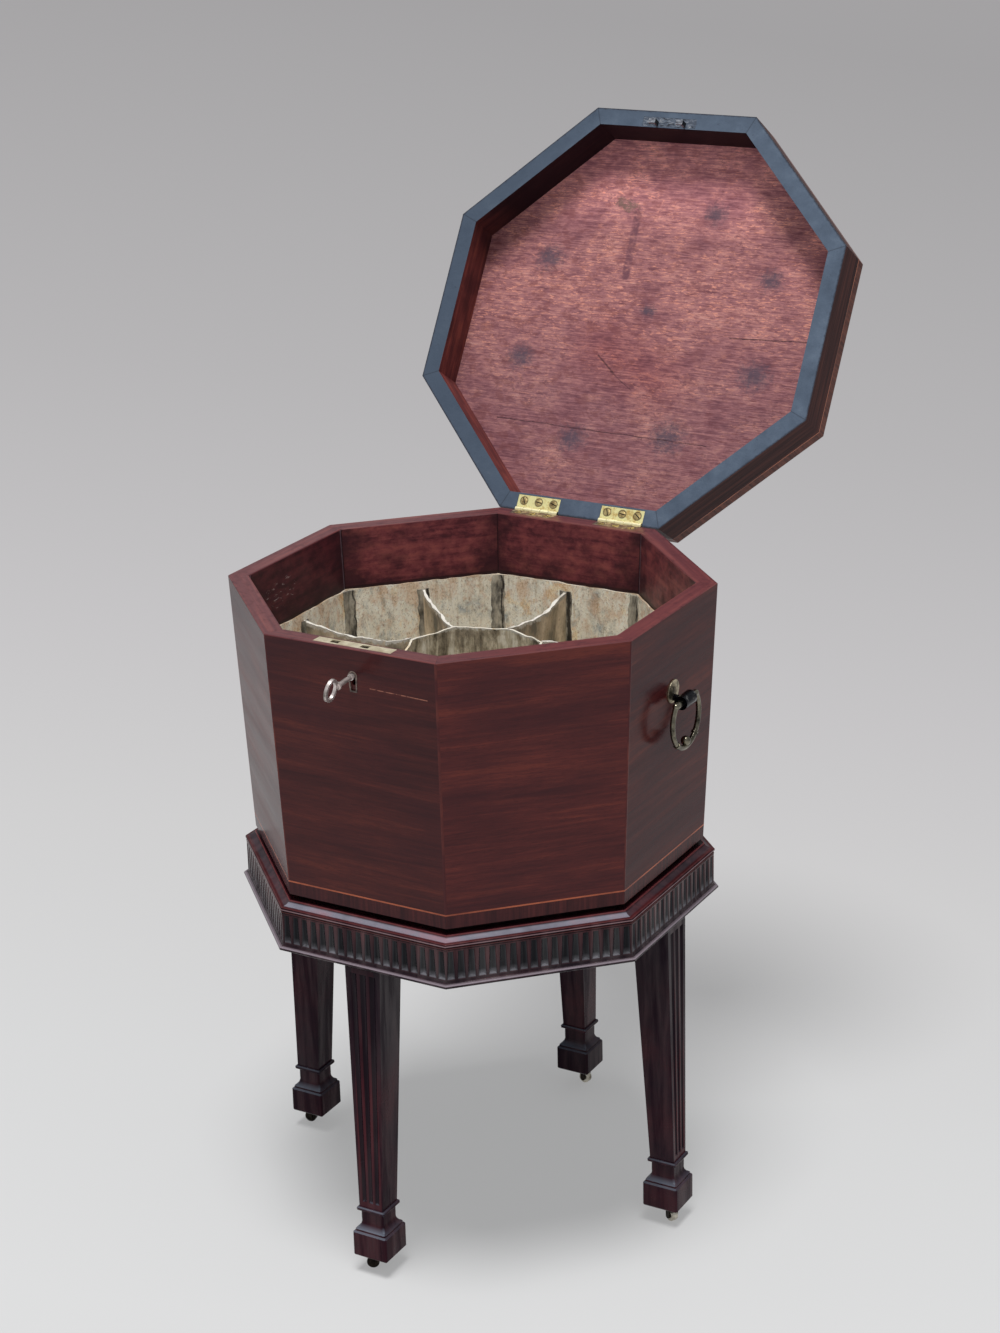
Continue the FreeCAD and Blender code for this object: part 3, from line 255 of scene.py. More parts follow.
# ---------------------------------------------------------------- stand: frieze, moulding and bead
# Eight mitred rails of mahogany with eighteen gouged flutes each, a moulded edge planted on top
# and an astragal under them, stained nearly black and polished, and rubbed red on what stands out.
def softened(node, name, width, angle=35.0, knocked=None):
    """A copy of a node with its arrises worn round, first those that are knocked most, up to a
    height, and its mitres parted; it stands for that node."""
    bpy.ops.object.select_all(action="DESELECT")
    copy = bpy.data.objects.new(name, nodes[node].data.copy())
    bpy.context.collection.objects.link(copy)
    bpy.context.view_layer.objects.active = copy
    copy.select_set(True)
    bpy.ops.object.mode_set(mode="EDIT")
    bpy.ops.mesh.select_all(action="SELECT")
    bpy.ops.mesh.customdata_custom_splitnormals_clear()
    bpy.ops.mesh.remove_doubles(threshold=0.00002)
    bpy.ops.mesh.dissolve_limited(angle_limit=math.radians(0.5))
    if knocked is not None:
        bpy.ops.mesh.select_all(action="DESELECT")
        mesh = bmesh.from_edit_mesh(copy.data)
        for edge in mesh.edges:
            low, high = sorted(vertex.co.z for vertex in edge.verts)
            upright = high - low > 0.6 * edge.calc_length()
            if upright and high < knocked and edge.calc_face_angle(0.0) > math.radians(50):
                edge.select_set(True)
        bmesh.update_edit_mesh(copy.data)
        bpy.ops.mesh.bevel(offset=0.0022, segments=3, affect="EDGES", clamp_overlap=True)
    bpy.ops.object.mode_set(mode="OBJECT")
    worn = copy.modifiers.new("worn", "BEVEL")
    worn.width = width
    worn.segments = 2
    worn.limit_method = "ANGLE"
    worn.angle_limit = math.radians(angle)
    bpy.ops.object.modifier_apply(modifier="worn")
    bpy.ops.object.mode_set(mode="EDIT")
    bpy.ops.mesh.select_mode(type="EDGE")
    bpy.ops.mesh.select_all(action="DESELECT")
    bpy.ops.mesh.select_non_manifold(use_wire=False, use_boundary=False, use_multi_face=True,
                                     use_non_contiguous=False, use_verts=False)
    bpy.ops.mesh.edge_split(type="EDGE")
    bpy.ops.object.mode_set(mode="OBJECT")
    bpy.ops.object.shade_smooth_by_angle(angle=math.radians(40))
    copy.modifiers.new("flat", "WEIGHTED_NORMAL").keep_sharp = True
    bpy.ops.object.modifier_apply(modifier="flat")
    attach(copy, nodes[node]["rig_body"])
    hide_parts(node)
    return copy


def eight_sided(finish, place):
    """How far a point is from the middle of the octagon, measured square to its nearest side."""
    across = finish.unsigned(finish.axis(place, 0))
    deep = finish.unsigned(finish.axis(place, 1))
    slanted = finish.times(finish.plus(across, deep), math.sqrt(0.5))
    return finish.larger(finish.larger(across, deep), slanted)


class Stained(Finish):
    """Old dark polish over red wood, with streaks that run along z."""

    def __init__(self, name, red, black, gloss=0.14):
        super().__init__(name)
        self.gloss = gloss
        self.place = self.space()
        self.streak = self.mottle((0.012, 0.012, 0.14), 6, 0.6, 0.4)
        self.cloud = self.mottle((0.07, 0.07, 0.07), 4, 0.6)
        self.fine = self.mottle((0.0016, 0.0016, 0.02), 3, 0.6)
        value = self.times(self.plus(self.streak, self.cloud), 0.5)
        middle = [(a + b) / 2 for a, b in zip(red, black)]
        self.colour = self.ramp(value, (0.4, black), (0.52, middle), (0.62, red))
        self.stain(self.span(self.fine, 0.52, 0.75, 0.0, 0.5), [v * 0.55 for v in black])

    def polished(self, low, high, shine=1.0):
        """Finish it with a polish whose roughness goes from low to high."""
        worn = self.times(self.span(self.streak, 0.4, 0.62, self.gloss * 0.35, self.gloss * 1.5), shine)
        return self.done(Roughness=self.span(self.cloud, 0.35, 0.65, low, high),
                         Specular_IOR_Level=worn, Normal=self.bump(self.fine, 0.00008))


frieze_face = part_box("frieze_rails")[1].y
frieze_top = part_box("frieze_rails")[1].z
frieze_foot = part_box("frieze_rails")[0].z
flute_foot = frieze_foot + 0.0074


def frieze_finish():
    """Flats that are red at the top and black at the foot, hollows with painted shade deep in them and a
    painted grey-green sheen near their edges, and a painted highlight at each flute's foot.
    """
    finish = Stained("fluted_frieze", red=(86, 44, 47), black=(52, 32, 37), gloss=0.3)
    out = eight_sided(finish, finish.place)
    height = finish.axis(finish.place, 2)
    finish.stain(finish.span(height, frieze_top - 0.006, frieze_foot + 0.010, 0.0, 0.8), (38, 25, 31))
    hollow = finish.span(out, frieze_face - 0.0012, frieze_face - 0.0005, 1.0, 0.0)
    depth = finish.span(out, frieze_face - 0.0026, frieze_face - 0.0004)
    # Painted shade, darkest deep in each flute, with a painted grey-green sheen nearer its edges.
    hollow_shade_and_sheen = finish.ramp(depth, (0.0, (12, 11, 16)), (0.35, (27, 28, 33)), (0.7, (48, 50, 54)),
                         (1.0, (50, 34, 39)))
    finish.colour = finish.mix(hollow, finish.colour, hollow_shade_and_sheen)
    # Painted highlight on the sloping foot of each flute, broken into patches.
    foot = finish.span(height, flute_foot + 0.0075, flute_foot + 0.0016)
    foot = finish.times(foot, finish.span(height, flute_foot - 0.0004, flute_foot + 0.0003))
    foot = finish.times(foot, hollow)
    highlight_patches = finish.span(finish.streak, 0.4, 0.6, 0.35, 0.95)
    finish.stain(finish.times(foot, highlight_patches), (114, 112, 118))
    below = finish.span(height, flute_foot + 0.0002, flute_foot - 0.0006)
    finish.stain(finish.times(below, 0.85), (27, 20, 25))
    return finish.polished(0.18, 0.3)


def line_at(finish, value, place, half):
    """1 where a value is at a place, falling to 0 at half a line's width to either side."""
    return finish.span(finish.unsigned(finish.less(value, place)), half * 0.4, half, 1.0, 0.0)


def moulding_finish():
    """Dark red, with a painted highlight on the cove on the front sides, and its edges rubbed."""
    finish = Stained("moulding_polish", red=(66, 24, 29), black=(32, 15, 20), gloss=0.3)
    out = eight_sided(finish, finish.place)
    height = finish.axis(finish.place, 2)
    # Painted highlight: a blue-grey band on the cove, strongest on the sides that face the front.
    across = finish.axis(finish.place, 0)
    ahead = finish.times(finish.axis(finish.place, 1), -1.0)
    slanted = finish.times(finish.plus(across, ahead), math.sqrt(0.5))
    front = finish.larger(ahead, slanted)
    front = finish.span(finish.less(front, out), -0.0008, -0.0001, 0.12, 1.0)
    cove_highlight = finish.times(finish.span(out, frieze_face - 0.0088, frieze_face - 0.0078),
                        finish.span(out, frieze_face - 0.0024, frieze_face - 0.0036))
    highlight_patches = finish.span(finish.cloud, 0.3, 0.62, 0.35, 0.8)
    cove_highlight = finish.times(finish.times(cove_highlight, front), highlight_patches)
    highlight_tint = finish.mix(finish.span(finish.cloud, 0.46, 0.6), tone(156, 156, 170), tone(160, 128, 138))
    finish.colour = finish.mix(cove_highlight, finish.colour, highlight_tint)
    for value, place, half, share, shade in ((out, frieze_face - 0.0094, 0.0006, 0.7, (132, 66, 68)),
                                             (height, frieze_top + 0.0067, 0.0005, 0.4, (112, 54, 54)),
                                             (height, frieze_top + 0.0046, 0.0006, 0.75, (160, 128, 134)),
                                             (height, frieze_top + 0.0018, 0.0005, 0.7, (120, 70, 70))):
        finish.stain(finish.times(line_at(finish, value, place, half), share), shade)
    return finish.polished(0.16, 0.26, finish.span(front, 0.0, 1.0, 0.15, 1.0))


def bead_finish():
    """Nearly black, with grey lines along its upper edge and its foot that are partly rubbed wood and
    partly painted highlight.
    """
    finish = Stained("bead_polish", red=(54, 30, 36), black=(28, 19, 26), gloss=0.3)
    height = finish.axis(finish.place, 2)
    # Grey lines: partly rubbed wood, partly painted highlight.
    for place, half, share, shade in ((frieze_foot + 0.0040, 0.0008, 0.85, (136, 124, 132)),
                                      (frieze_foot + 0.0022, 0.0005, 0.6, (20, 14, 18)),
                                      (frieze_foot + 0.0006, 0.0007, 0.6, (108, 84, 90))):
        finish.stain(finish.times(line_at(finish, height, place, half), share), shade)
    return finish.polished(0.18, 0.28)


dress(softened("frieze_rails", "fluted_frieze", 0.00022), frieze_finish())
dress(softened("stand_top_moulding", "top_moulding", 0.0002, 50), moulding_finish())
dress(softened("stand_bottom_bead", "foot_bead", 0.0002, 50), bead_finish())


# ---------------------------------------------------------------- stand: inner framing
# The seat that the box stands on, the glue blocks under it and the box's own base board, all of
# plain wood stained dull and dark.
framing_finish = Stained("dull_framing", red=(38, 20, 20), black=(20, 12, 14)).polished(0.5, 0.7)
for node, name in (("stand_seat_frame", "seat_frame"), ("stand_corner_blocks", "glue_blocks"),
                   ("base_board", "base_boards")):
    dress(softened(node, name, 0.0004), framing_finish)


# ---------------------------------------------------------------- legs
# Four tapering mahogany legs, each worked from one piece: three flutes down the outer face, a
# collar, a hollowed neck and a block foot. They are tenoned behind the frieze.
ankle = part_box("leg_front")[0].z + 0.0553
leg_face = (0.2325, 0.2290)  # from the middle out to a leg's face, at the ankle and under the frieze


def leg_finish():
    """Black flutes with red ridges, red lower down, and a painted grey highlight on the ledges that face
    up, strongest where they face the front.
    """
    finish = Stained("leg_polish", red=(60, 24, 32), black=(30, 16, 27))
    across = finish.unsigned(finish.axis(finish.place, 0))
    deep = finish.unsigned(finish.axis(finish.place, 1))
    out = finish.larger(across, deep)
    beside = finish.smaller(across, deep)
    height = finish.axis(finish.place, 2)
    face = finish.span(height, ankle, frieze_foot, *leg_face)
    depth = finish.less(face, out)
    shaft = finish.times(finish.span(height, ankle, ankle + 0.0005),
                         finish.span(beside, 0.0125, 0.0130, 1.0, 0.0))
    near = finish.times(shaft, finish.span(depth, 0.0030, 0.0034, 1.0, 0.0))
    ridge = finish.times(near, finish.span(depth, 0.0003, 0.0006, 1.0, 0.0))
    hollow = finish.times(near, finish.span(depth, 0.0003, 0.0006))
    finish.stain(finish.times(ridge, finish.span(finish.cloud, 0.36, 0.6, 0.15, 0.6)), (84, 34, 40))
    finish.stain(finish.times(hollow, 0.8), (30, 20, 28))
    upper = finish.span(height, 0.2, frieze_foot, 0.0, 0.75)
    finish.stain(finish.times(upper, finish.span(finish.cloud, 0.3, 0.5)), (24, 18, 26))
    # Painted highlight on the up-facing ledges, stronger on those that face the front.
    facing = finish.add("TexCoord", {}, {}).outputs["Normal"]
    ledge_highlight = finish.times(finish.span(finish.axis(facing, 2), 0.3, 0.8),
                         finish.span(finish.axis(facing, 1), -0.08, -0.3, 0.3, 1.0))
    finish.stain(finish.times(ledge_highlight, finish.span(finish.cloud, 0.3, 0.6, 0.385, 0.7)), (104, 112, 124))
    return finish.polished(0.16, 0.28)


leg_polish = leg_finish()
for side in ("front", "right", "back", "left"):
    dress(softened("leg_" + side, "fluted_leg_" + side, 0.0011, knocked=ankle + 0.001), leg_polish)


# ---------------------------------------------------------------- castors
# Small brass castors: a round plate held by three screws, a swivelling fork and a wheel on a riveted
# axle, all gone dark; the right and back wheels are given pale brass as a painted highlight.
def metal(name, bright, dark, rough=(0.25, 0.5), cell=0.01, share=(0.4, 0.65), metallic=1.0,
          grit=0.00004):
    """Metal in two tones clouded together: the pale tone is rubbed metal on most pieces, and a painted
    highlight on the right and back castor wheels and the handle posts.
    """
    finish = Finish(name, Metallic=metallic)
    patch = finish.mottle((cell, cell, cell), 6, 0.65)
    fine = finish.mottle((cell * 0.1,) * 3, 3, 0.6)
    finish.colour = finish.mix(finish.span(patch, share[0], share[1]), tone(*bright), tone(*dark))
    return finish.done(Roughness=finish.span(patch, 0.35, 0.7, rough[0], rough[1]),
                       Normal=finish.bump(fine, grit))


dark_castor = metal("dark_castor_brass", (48, 42, 36), (16, 14, 14), (0.35, 0.6), cell=0.006)
for name in nodes:
    if name.startswith(("castor_plates", "castor_fork", "castor_screws")):
        dress(nodes[name], dark_castor)
# Pale brass for the right and back wheels, as a painted highlight; the front and left wheels keep the dark
# brass, as painted shade.
bright_lit_castor = metal("bright_lit_castor_brass", (226, 220, 204), (120, 112, 98), (0.2, 0.4), cell=0.012)
for side in ("front", "right", "back", "left"):
    wheel = softened("castor_wheel_" + side, "rounded_wheel_" + side, 0.0006)
    dress(wheel, dark_castor if side in ("front", "left") else bright_lit_castor)


# ---------------------------------------------------------------- box walls
# Eight leaning walls of figured mahogany, mitred at the corners. Outside they are polished, with
# the grain level and a band of upright grain under the string; inside they are dark and dull.
half_side = math.radians(22.5)  # half the angle that one of the eight sides takes up


def figure(finish, angle, seed):
    """Four scales of level grain for one side, from bands to pores, as numbers from 0 to 1."""
    turn = (0, 0, math.radians(angle))
    band = finish.mottle((0.2, 0.34, 0.030), 3, 0.5, 0.8, turn=turn, at=(0, seed * 1.7, seed * 0.31))
    streak = finish.mottle((0.1, 0.11, 0.0052), 5, 0.58, 0.8, turn=turn, at=(0, seed, seed * 0.17))
    fleck = finish.mottle((0.05, 0.020, 0.0015), 4, 0.65, 0.5, turn=turn, at=(0, seed, seed * 0.23))
    pore = finish.mottle((0.01, 0.0080, 0.0006), 2, 0.5, turn=turn, at=(0, seed, 0))
    return band, streak, fleck, pore


def relit(strength, *stops):
    """Stops of a ramp with the red, green and blue of each tone made weaker or stronger."""
    return [(place, [v * k for v, k in zip(shade, strength)]) for place, shade in stops]


def outside_finish(side, angle, seed):
    """Polished wood, level above the string and upright under it, clouded and rippled."""
    # The strength lightens or darkens the same wood side by side: painted light and shade for each side.
    lit = {"front_right": 1.02, "front": 0.88, "right": 0.88}.get(side, 0.92)
    finish = Finish("polished_mahogany_" + side)
    band, streak, fleck, pore = figure(finish, angle, seed)
    value = finish.plus(finish.times(band, 0.46), finish.times(streak, 0.36))
    value = finish.plus(value, finish.times(fleck, 0.18))
    level = finish.ramp(value, *relit((lit, lit, lit), (0.38, (64, 28, 31)), (0.46, (76, 33, 34)),
                                      (0.53, (87, 38, 37)), (0.62, (106, 48, 41))))
    turn = (0, 0, math.radians(angle))
    stripe = finish.mottle((0.05, 0.0035, 0.09), 4, 0.6, 0.2, turn=turn, at=(0, seed, 0))
    upright = finish.ramp(stripe, (0.35, (50, 22, 25)), (0.65, (84, 38, 38)))
    height = finish.axis(finish.space(), 2)
    foot = finish.span(height, band_top, band_top + 0.0003, 1.0, 0.0)
    finish.colour = finish.mix(foot, level, upright)
    cloud = finish.mottle((0.11, 0.16, 0.07), 3, 0.55, turn=turn, at=(seed, 0, 0))
    finish.stain(finish.span(cloud, 0.47, 0.7, 0.0, 0.6), (56, 25, 31))
    finish.stain(finish.span(pore, 0.55, 0.68, 0.0, 0.4), (48, 22, 25))
    ripple = finish.mottle((0.2, 0.25, 0.022), 2, 0.5, turn=turn, at=(seed, 0, 0))
    shine = 0.09 if side == "right" else 0.17
    relief = finish.bump(ripple, 0.0006, finish.bump(pore, 0.00003))
    if side == "front_left":
        relief = finish.bump(fleck, 0.00006, relief)
        shine = finish.span(finish.plus(ripple, finish.times(streak, 0.5)), 0.55, 0.95, 0.02, 0.05)
    if side == "front":
        across = finish.axis(finish.space(), 0)
        line = finish.stroke(across, height, (0.0216, 0.6368), (0.0835, 0.6351), 0.0007)
        broken = finish.span(finish.mottle((0.006, 0.006, 0.006), 3), 0.38, 0.55)
        finish.stain(finish.times(finish.times(line, 1.6), broken), (160, 104, 86))
    return finish.done(Roughness=finish.span(streak, 0.3, 0.7, 0.15, 0.22), Specular_IOR_Level=shine,
                       Normal=relief)


def rim_finish(side, angle, seed):
    """The walls' top edges: cleaner, pinker wood with nicks."""
    finish = Finish("rim_mahogany_" + side, Specular_IOR_Level=0.25)
    turn = (0, 0, math.radians(angle))
    streak = finish.mottle((0.004, 0.16, 0.01), 5, 0.6, 0.3, turn=turn, at=(0, seed, 0))
    spot = finish.mottle((0.007, 0.012, 0.01), 4, 0.65, turn=turn, at=(seed, 0, 0))
    finish.colour = finish.ramp(streak, (0.3, (76, 36, 40)), (0.5, (94, 46, 48)), (0.7, (116, 62, 58)))
    finish.stain(finish.span(spot, 0.54, 0.7, 0.0, 0.75), (62, 28, 34))
    return finish.done(Roughness=finish.span(spot, 0.3, 0.7, 0.3, 0.42), Normal=finish.bump(streak, 0.0001))


def inside_finish(side, angle, seed):
    """Inner faces above the lead: dull red with black stains, made heavier into the corners and by the lead
    as painted shade.
    """
    finish = Finish("inner_mahogany_" + side, Specular_IOR_Level=0.25)
    turn = (0, 0, math.radians(angle))
    streak = finish.mottle((0.05, 0.13, 0.006), 5, 0.65, 0.4, turn=turn, at=(0, seed, 0))
    mottle = finish.mottle((0.016, 0.016, 0.010), 6, 0.7, 0.3, turn=turn, at=(0, seed, 0))
    value = finish.plus(finish.times(streak, 0.4), finish.times(mottle, 0.6))
    # The left-hand inner walls take the same wood darker and less green: painted shade.
    lit, green = (0.6, 0.84) if side in ("left", "front_left") else (0.92, 1.0)
    finish.colour = finish.ramp(value, *relit((lit, lit * green, lit), (0.40, (92, 44, 52)),
                                              (0.5, (134, 66, 71)), (0.6, (160, 86, 83))))
    stain = finish.mottle((0.03, 0.03, 0.02), 5, 0.65, turn=turn, at=(0, seed, 0))
    beside = finish.unsigned(finish.axis(finish.space(turn=turn), 1))
    height = finish.axis(finish.space(), 2)
    # Painted shade: the black stains grow heavier into the corners and down by the lead.
    edge = finish.plus(finish.span(beside, 0.055, 0.086, 0.0, 0.30),
                       finish.span(height, lead_top + 0.03, lead_top, 0.0, 0.22))
    finish.stain(finish.span(finish.plus(stain, edge), 0.5, 0.8, 0.0, 0.85), (52, 26, 34))
    joint = finish.times(finish.span(height, lead_top + 0.0034, lead_top + 0.0020), 0.85)
    finish.stain(joint, (40, 24, 26))
    mitre = finish.less(finish.times(finish.axis(finish.space(turn=turn), 0), math.tan(half_side)), beside)
    broken = finish.span(mottle, 0.4, 0.6, 0.5, 1.0)
    finish.stain(finish.times(finish.span(mitre, 0.0009, 0.0003), broken), (24, 14, 20))
    if side in ("left", "back_right"):
        rubbed = finish.times(line_at(finish, mitre, 0.0018, 0.0009), broken)
        finish.stain(finish.times(rubbed, 0.7), (150, 134, 146))
    if side == "left":
        fleck = finish.mottle((0.009, 0.012, 0.003), 4, 0.75, turn=turn)
        near = finish.stroke(finish.axis(finish.space(turn=turn), 1), height, (0.02, 0.640), (0.075, 0.634),
                             0.016)
        fleck = finish.times(finish.span(fleck, 0.60, 0.64), finish.span(near, 0.0, 0.3))
        finish.stain(finish.times(fleck, 0.7), (190, 170, 168))
    return finish.done(Roughness=finish.span(stain, 0.35, 0.65, 0.3, 0.5),
                       Normal=finish.bump(streak, 0.0001))


band_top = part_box("base_stringing")[0].z
lead_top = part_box("lead_lining")[1].z
for number, side in enumerate(("right", "back_right", "back", "back_left", "left", "front_left", "front",
                               "front_right")):
    angle = 45 * number
    wall = softened("panel_" + side, "wall_" + side, 0.0005)
    dress(wall, outside_finish(side, angle, number + 1))
    wall.data.materials.append(rim_finish(side, angle, number + 1))
    wall.data.materials.append(inside_finish(side, angle, number + 1))
    out = Vector((math.cos(math.radians(angle)), math.sin(math.radians(angle)), 0))
    for face in wall.data.polygons:
        if face.normal.z > 0.6:
            face.material_index = 1
        elif face.normal.dot(out) < -0.5:
            face.material_index = 2


# ---------------------------------------------------------------- stringing
# Fine lines of boxwood glued in to the walls: one round the foot of the box and one up each
# corner, the corner ones so darkened by polish that they hardly show.
def string_finish(name, pale, dark, low, high):
    """Polished boxwood, pale and dark in patches."""
    finish = Finish(name, Roughness=0.25, Specular_IOR_Level=0.17)
    fade = finish.mottle((0.05, 0.05, 0.05), 4, 0.6)
    finish.colour = finish.mix(finish.span(fade, low, high), tone(*pale), tone(*dark))
    return finish.done()


dress(nodes["base_stringing"], string_finish("base_string", (178, 98, 70), (118, 60, 50), 0.45, 0.7))
dress(nodes["corner_stringing"], string_finish("corner_string", (104, 50, 44), (74, 32, 34), 0.36, 0.55))


# ---------------------------------------------------------------- lead lining
# A tray of sheet lead dressed in to the box and soldered at its corners. It is chalky and stained
# brown, with a white crust along its upper edge, and no longer lies quite flat.
def lead_finish():
    """Chalky lead: cream, tan and grey clouds that run downwards, brown near the top, a pale crust."""
    finish = Finish("chalky_lead", Specular_IOR_Level=0.2)
    cloud = finish.mottle((0.032, 0.032, 0.05), 6, 0.66, 0.4)
    run = finish.mottle((0.006, 0.006, 0.05), 5, 0.65, 0.3)
    speck = finish.mottle((0.0042, 0.0042, 0.0056), 5, 0.75)
    grit = finish.mottle((0.0016, 0.0016, 0.0022), 3, 0.7)
    rust = finish.mottle((0.02, 0.02, 0.026), 6, 0.7, 0.5, at=(0, 3, 0))
    height = finish.axis(finish.space(), 2)
    finish.colour = finish.ramp(cloud, (0.36, (176, 182, 178)), (0.43, (232, 228, 210)),
                                (0.49, (255, 248, 226)), (0.55, (255, 253, 238)), (0.62, (255, 236, 196)),
                                (0.69, (234, 190, 140)))
    finish.stain(finish.span(run, 0.53, 0.66, 0.0, 0.6), (246, 240, 224))
    finish.stain(finish.span(run, 0.45, 0.34, 0.0, 0.45), (186, 166, 132))
    brown = finish.plus(rust, finish.span(height, lead_top - 0.055, lead_top, 0.0, 0.1))
    finish.stain(finish.span(brown, 0.53, 0.68, 0.0, 0.6), (214, 166, 118))
    finish.stain(finish.span(speck, 0.57, 0.66, 0.0, 0.6), (166, 118, 76))
    finish.stain(finish.span(speck, 0.44, 0.36, 0.0, 0.5), (252, 246, 232))
    grime = finish.mottle((0.02, 0.02, 0.034), 6, 0.7, 0.4, at=(5, 5, 0))
    finish.stain(finish.span(grime, 0.56, 0.66, 0.0, 0.5), (150, 154, 148))
    finish.stain(finish.span(grit, 0.56, 0.67, 0.0, 0.6), (140, 118, 92))
    finish.stain(finish.span(grit, 0.46, 0.38, 0.0, 0.4), (255, 250, 238))
    edge = finish.plus(height, finish.times(finish.less(speck, 0.5), 0.010))
    white = finish.span(edge, lead_top - 0.0016, lead_top - 0.0003)
    broken = finish.times(white, finish.span(cloud, 0.46, 0.58, 0.05, 0.8))
    finish.stain(broken, (214, 208, 196))
    up = finish.span(finish.axis(finish.add("TexCoord", {}, {}).outputs["Normal"], 2), 0.5, 0.9)
    dull = finish.times(finish.times(up, finish.span(height, lead_top - 0.01, lead_top - 0.005)),
                        finish.span(cloud, 0.44, 0.6, 0.9, 0.2))
    finish.stain(dull, (150, 124, 98))
    return finish.done(Roughness=finish.span(cloud, 0.3, 0.7, 0.6, 0.85),
                       Normal=finish.bump(speck, 0.0006, finish.bump(run, 0.0005)))


def wobble(point, cell, seed=0.0):
    """A smooth push in every direction, up to about 1 each way, from place to place."""
    return noise.noise_vector(Vector(point) / cell + Vector((seed, seed * 0.7, -seed)))


def opened_tray(name, low, high, low_half, high_half, floored):
    """An eight-sided wall that leans from one half width to another, cut in to small facets."""
    bpy.ops.object.select_all(action="DESELECT")
    bpy.ops.mesh.primitive_cylinder_add(vertices=8, radius=1 / math.cos(half_side), depth=1.0,
                                        location=(0, 0, 0), end_fill_type="NGON" if floored else "NOTHING")
    tray = bpy.context.object
    tray.name = name
    bpy.ops.object.mode_set(mode="EDIT")
    mesh = bmesh.from_edit_mesh(tray.data)
    if floored:
        top_face = [face for face in mesh.faces if face.normal.z > 0.9]
        bmesh.ops.delete(mesh, geom=top_face, context="FACES_ONLY")
    for vertex in mesh.verts:
        half = high_half if vertex.co.z > 0 else low_half
        height = high if vertex.co.z > 0 else low
        turned = Matrix.Rotation(half_side, 3, "Z") @ vertex.co
        vertex.co = (turned.x * half, turned.y * half, height)
    bmesh.update_edit_mesh(tray.data)
    bpy.ops.mesh.select_all(action="DESELECT")
    mesh = bmesh.from_edit_mesh(tray.data)
    for face in mesh.faces:
        if abs(face.normal.z) < 0.5:
            face.select_set(True)
    bmesh.update_edit_mesh(tray.data)
    bpy.ops.mesh.subdivide(number_cuts=31)
    bpy.ops.object.mode_set(mode="OBJECT")
    return tray


def thickened(piece, thickness, offset):
    """Give a sheet its thickness; offset -1 grows it inwards, 0 both ways."""
    sheet = piece.modifiers.new("sheet", "SOLIDIFY")
    sheet.thickness = thickness
    sheet.offset = offset
    sheet.use_even_offset = True
    bpy.context.view_layer.objects.active = piece
    bpy.ops.object.modifier_apply(modifier="sheet")
    bpy.ops.object.select_all(action="DESELECT")
    piece.select_set(True)
    bpy.ops.object.shade_smooth_by_angle(angle=math.radians(40))


lead_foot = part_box("lead_lining")[0].z
lining_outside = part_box("lead_lining")[1].y - 0.0001
lean_in = 0.0126 / 0.2755  # the walls' flare over their height
sheet_lead = 0.0022
lining = opened_tray("lead_tray", lead_foot + 0.0001, lead_top,
                     lining_outside - (lead_top - lead_foot) * lean_in, lining_outside, True)
noise.seed_set(5)  # without it the pushes would differ each time
for vertex in lining.data.vertices:
    push = wobble(vertex.co, 0.05)
    flat_out = Vector((vertex.co.x, vertex.co.y, 0)).normalized()
    if vertex.co.z > lead_foot + 0.004:
        vertex.co -= flat_out * 0.0006 * (1 + push.x)
    if vertex.co.z > lead_top - 0.002:
        vertex.co.z += 0.0012 * (wobble(vertex.co, 0.012, 3.0).z - 0.4)
thickened(lining, sheet_lead, -1)
dress(lining, lead_finish())
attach(lining, "box")
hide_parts("lead_lining")


# ---------------------------------------------------------------- centre cell and dividers
# Strips of the same lead: a central well for a decanter or a bottle, and eight dividers soldered
# from its corners to the walls. Their upper edges are thick with white crust and far from straight.
cell_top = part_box("lead_centre_cell")[1].z
cell_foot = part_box("lead_centre_cell")[0].z
cell_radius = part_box("lead_centre_cell")[1].x


def cell_finish():
    """The cell's lead: cream outside, dark green-brown inside with pale runs, crusted on top."""
    finish = Finish("cell_lead", Specular_IOR_Level=0.2)
    place = finish.space()
    run = finish.mottle((0.008, 0.008, 0.05), 6, 0.65, 0.4)
    cloud = finish.mottle((0.02, 0.02, 0.03), 6, 0.68, 0.3)
    outer = finish.ramp(cloud, (0.36, (150, 144, 126)), (0.5, (214, 196, 164)), (0.64, (246, 236, 212)))
    value = finish.plus(finish.times(run, 0.5), finish.times(cloud, 0.5))
    inner = finish.ramp(value, (0.40, (96, 88, 74)), (0.47, (160, 148, 126)), (0.53, (208, 196, 170)),
                        (0.60, (250, 244, 226)))
    facing = finish.add("TexCoord", {}, {}).outputs["Normal"]
    outwards = finish.add("VectorMath", {"operation": "DOT_PRODUCT"}, {0: facing, 1: place})
    finish.colour = finish.mix(finish.span(outwards.outputs["Value"], -0.002, 0.002), inner, outer)
    height = finish.axis(place, 2)
    speck = finish.mottle((0.004, 0.004, 0.004), 4, 0.7)
    edge = finish.plus(height, finish.times(finish.less(speck, 0.5), 0.014))
    crusted = finish.times(finish.span(edge, cell_top - 0.0025, cell_top - 0.0012),
                           finish.span(cloud, 0.38, 0.5, 0.35, 0.9))
    crusted = finish.times(crusted, finish.span(finish.axis(place, 1), -0.024, -0.010, 0.1, 1.0))
    finish.stain(crusted, (214, 210, 198))
    return finish.done(Roughness=0.75, Normal=finish.bump(speck, 0.0008))


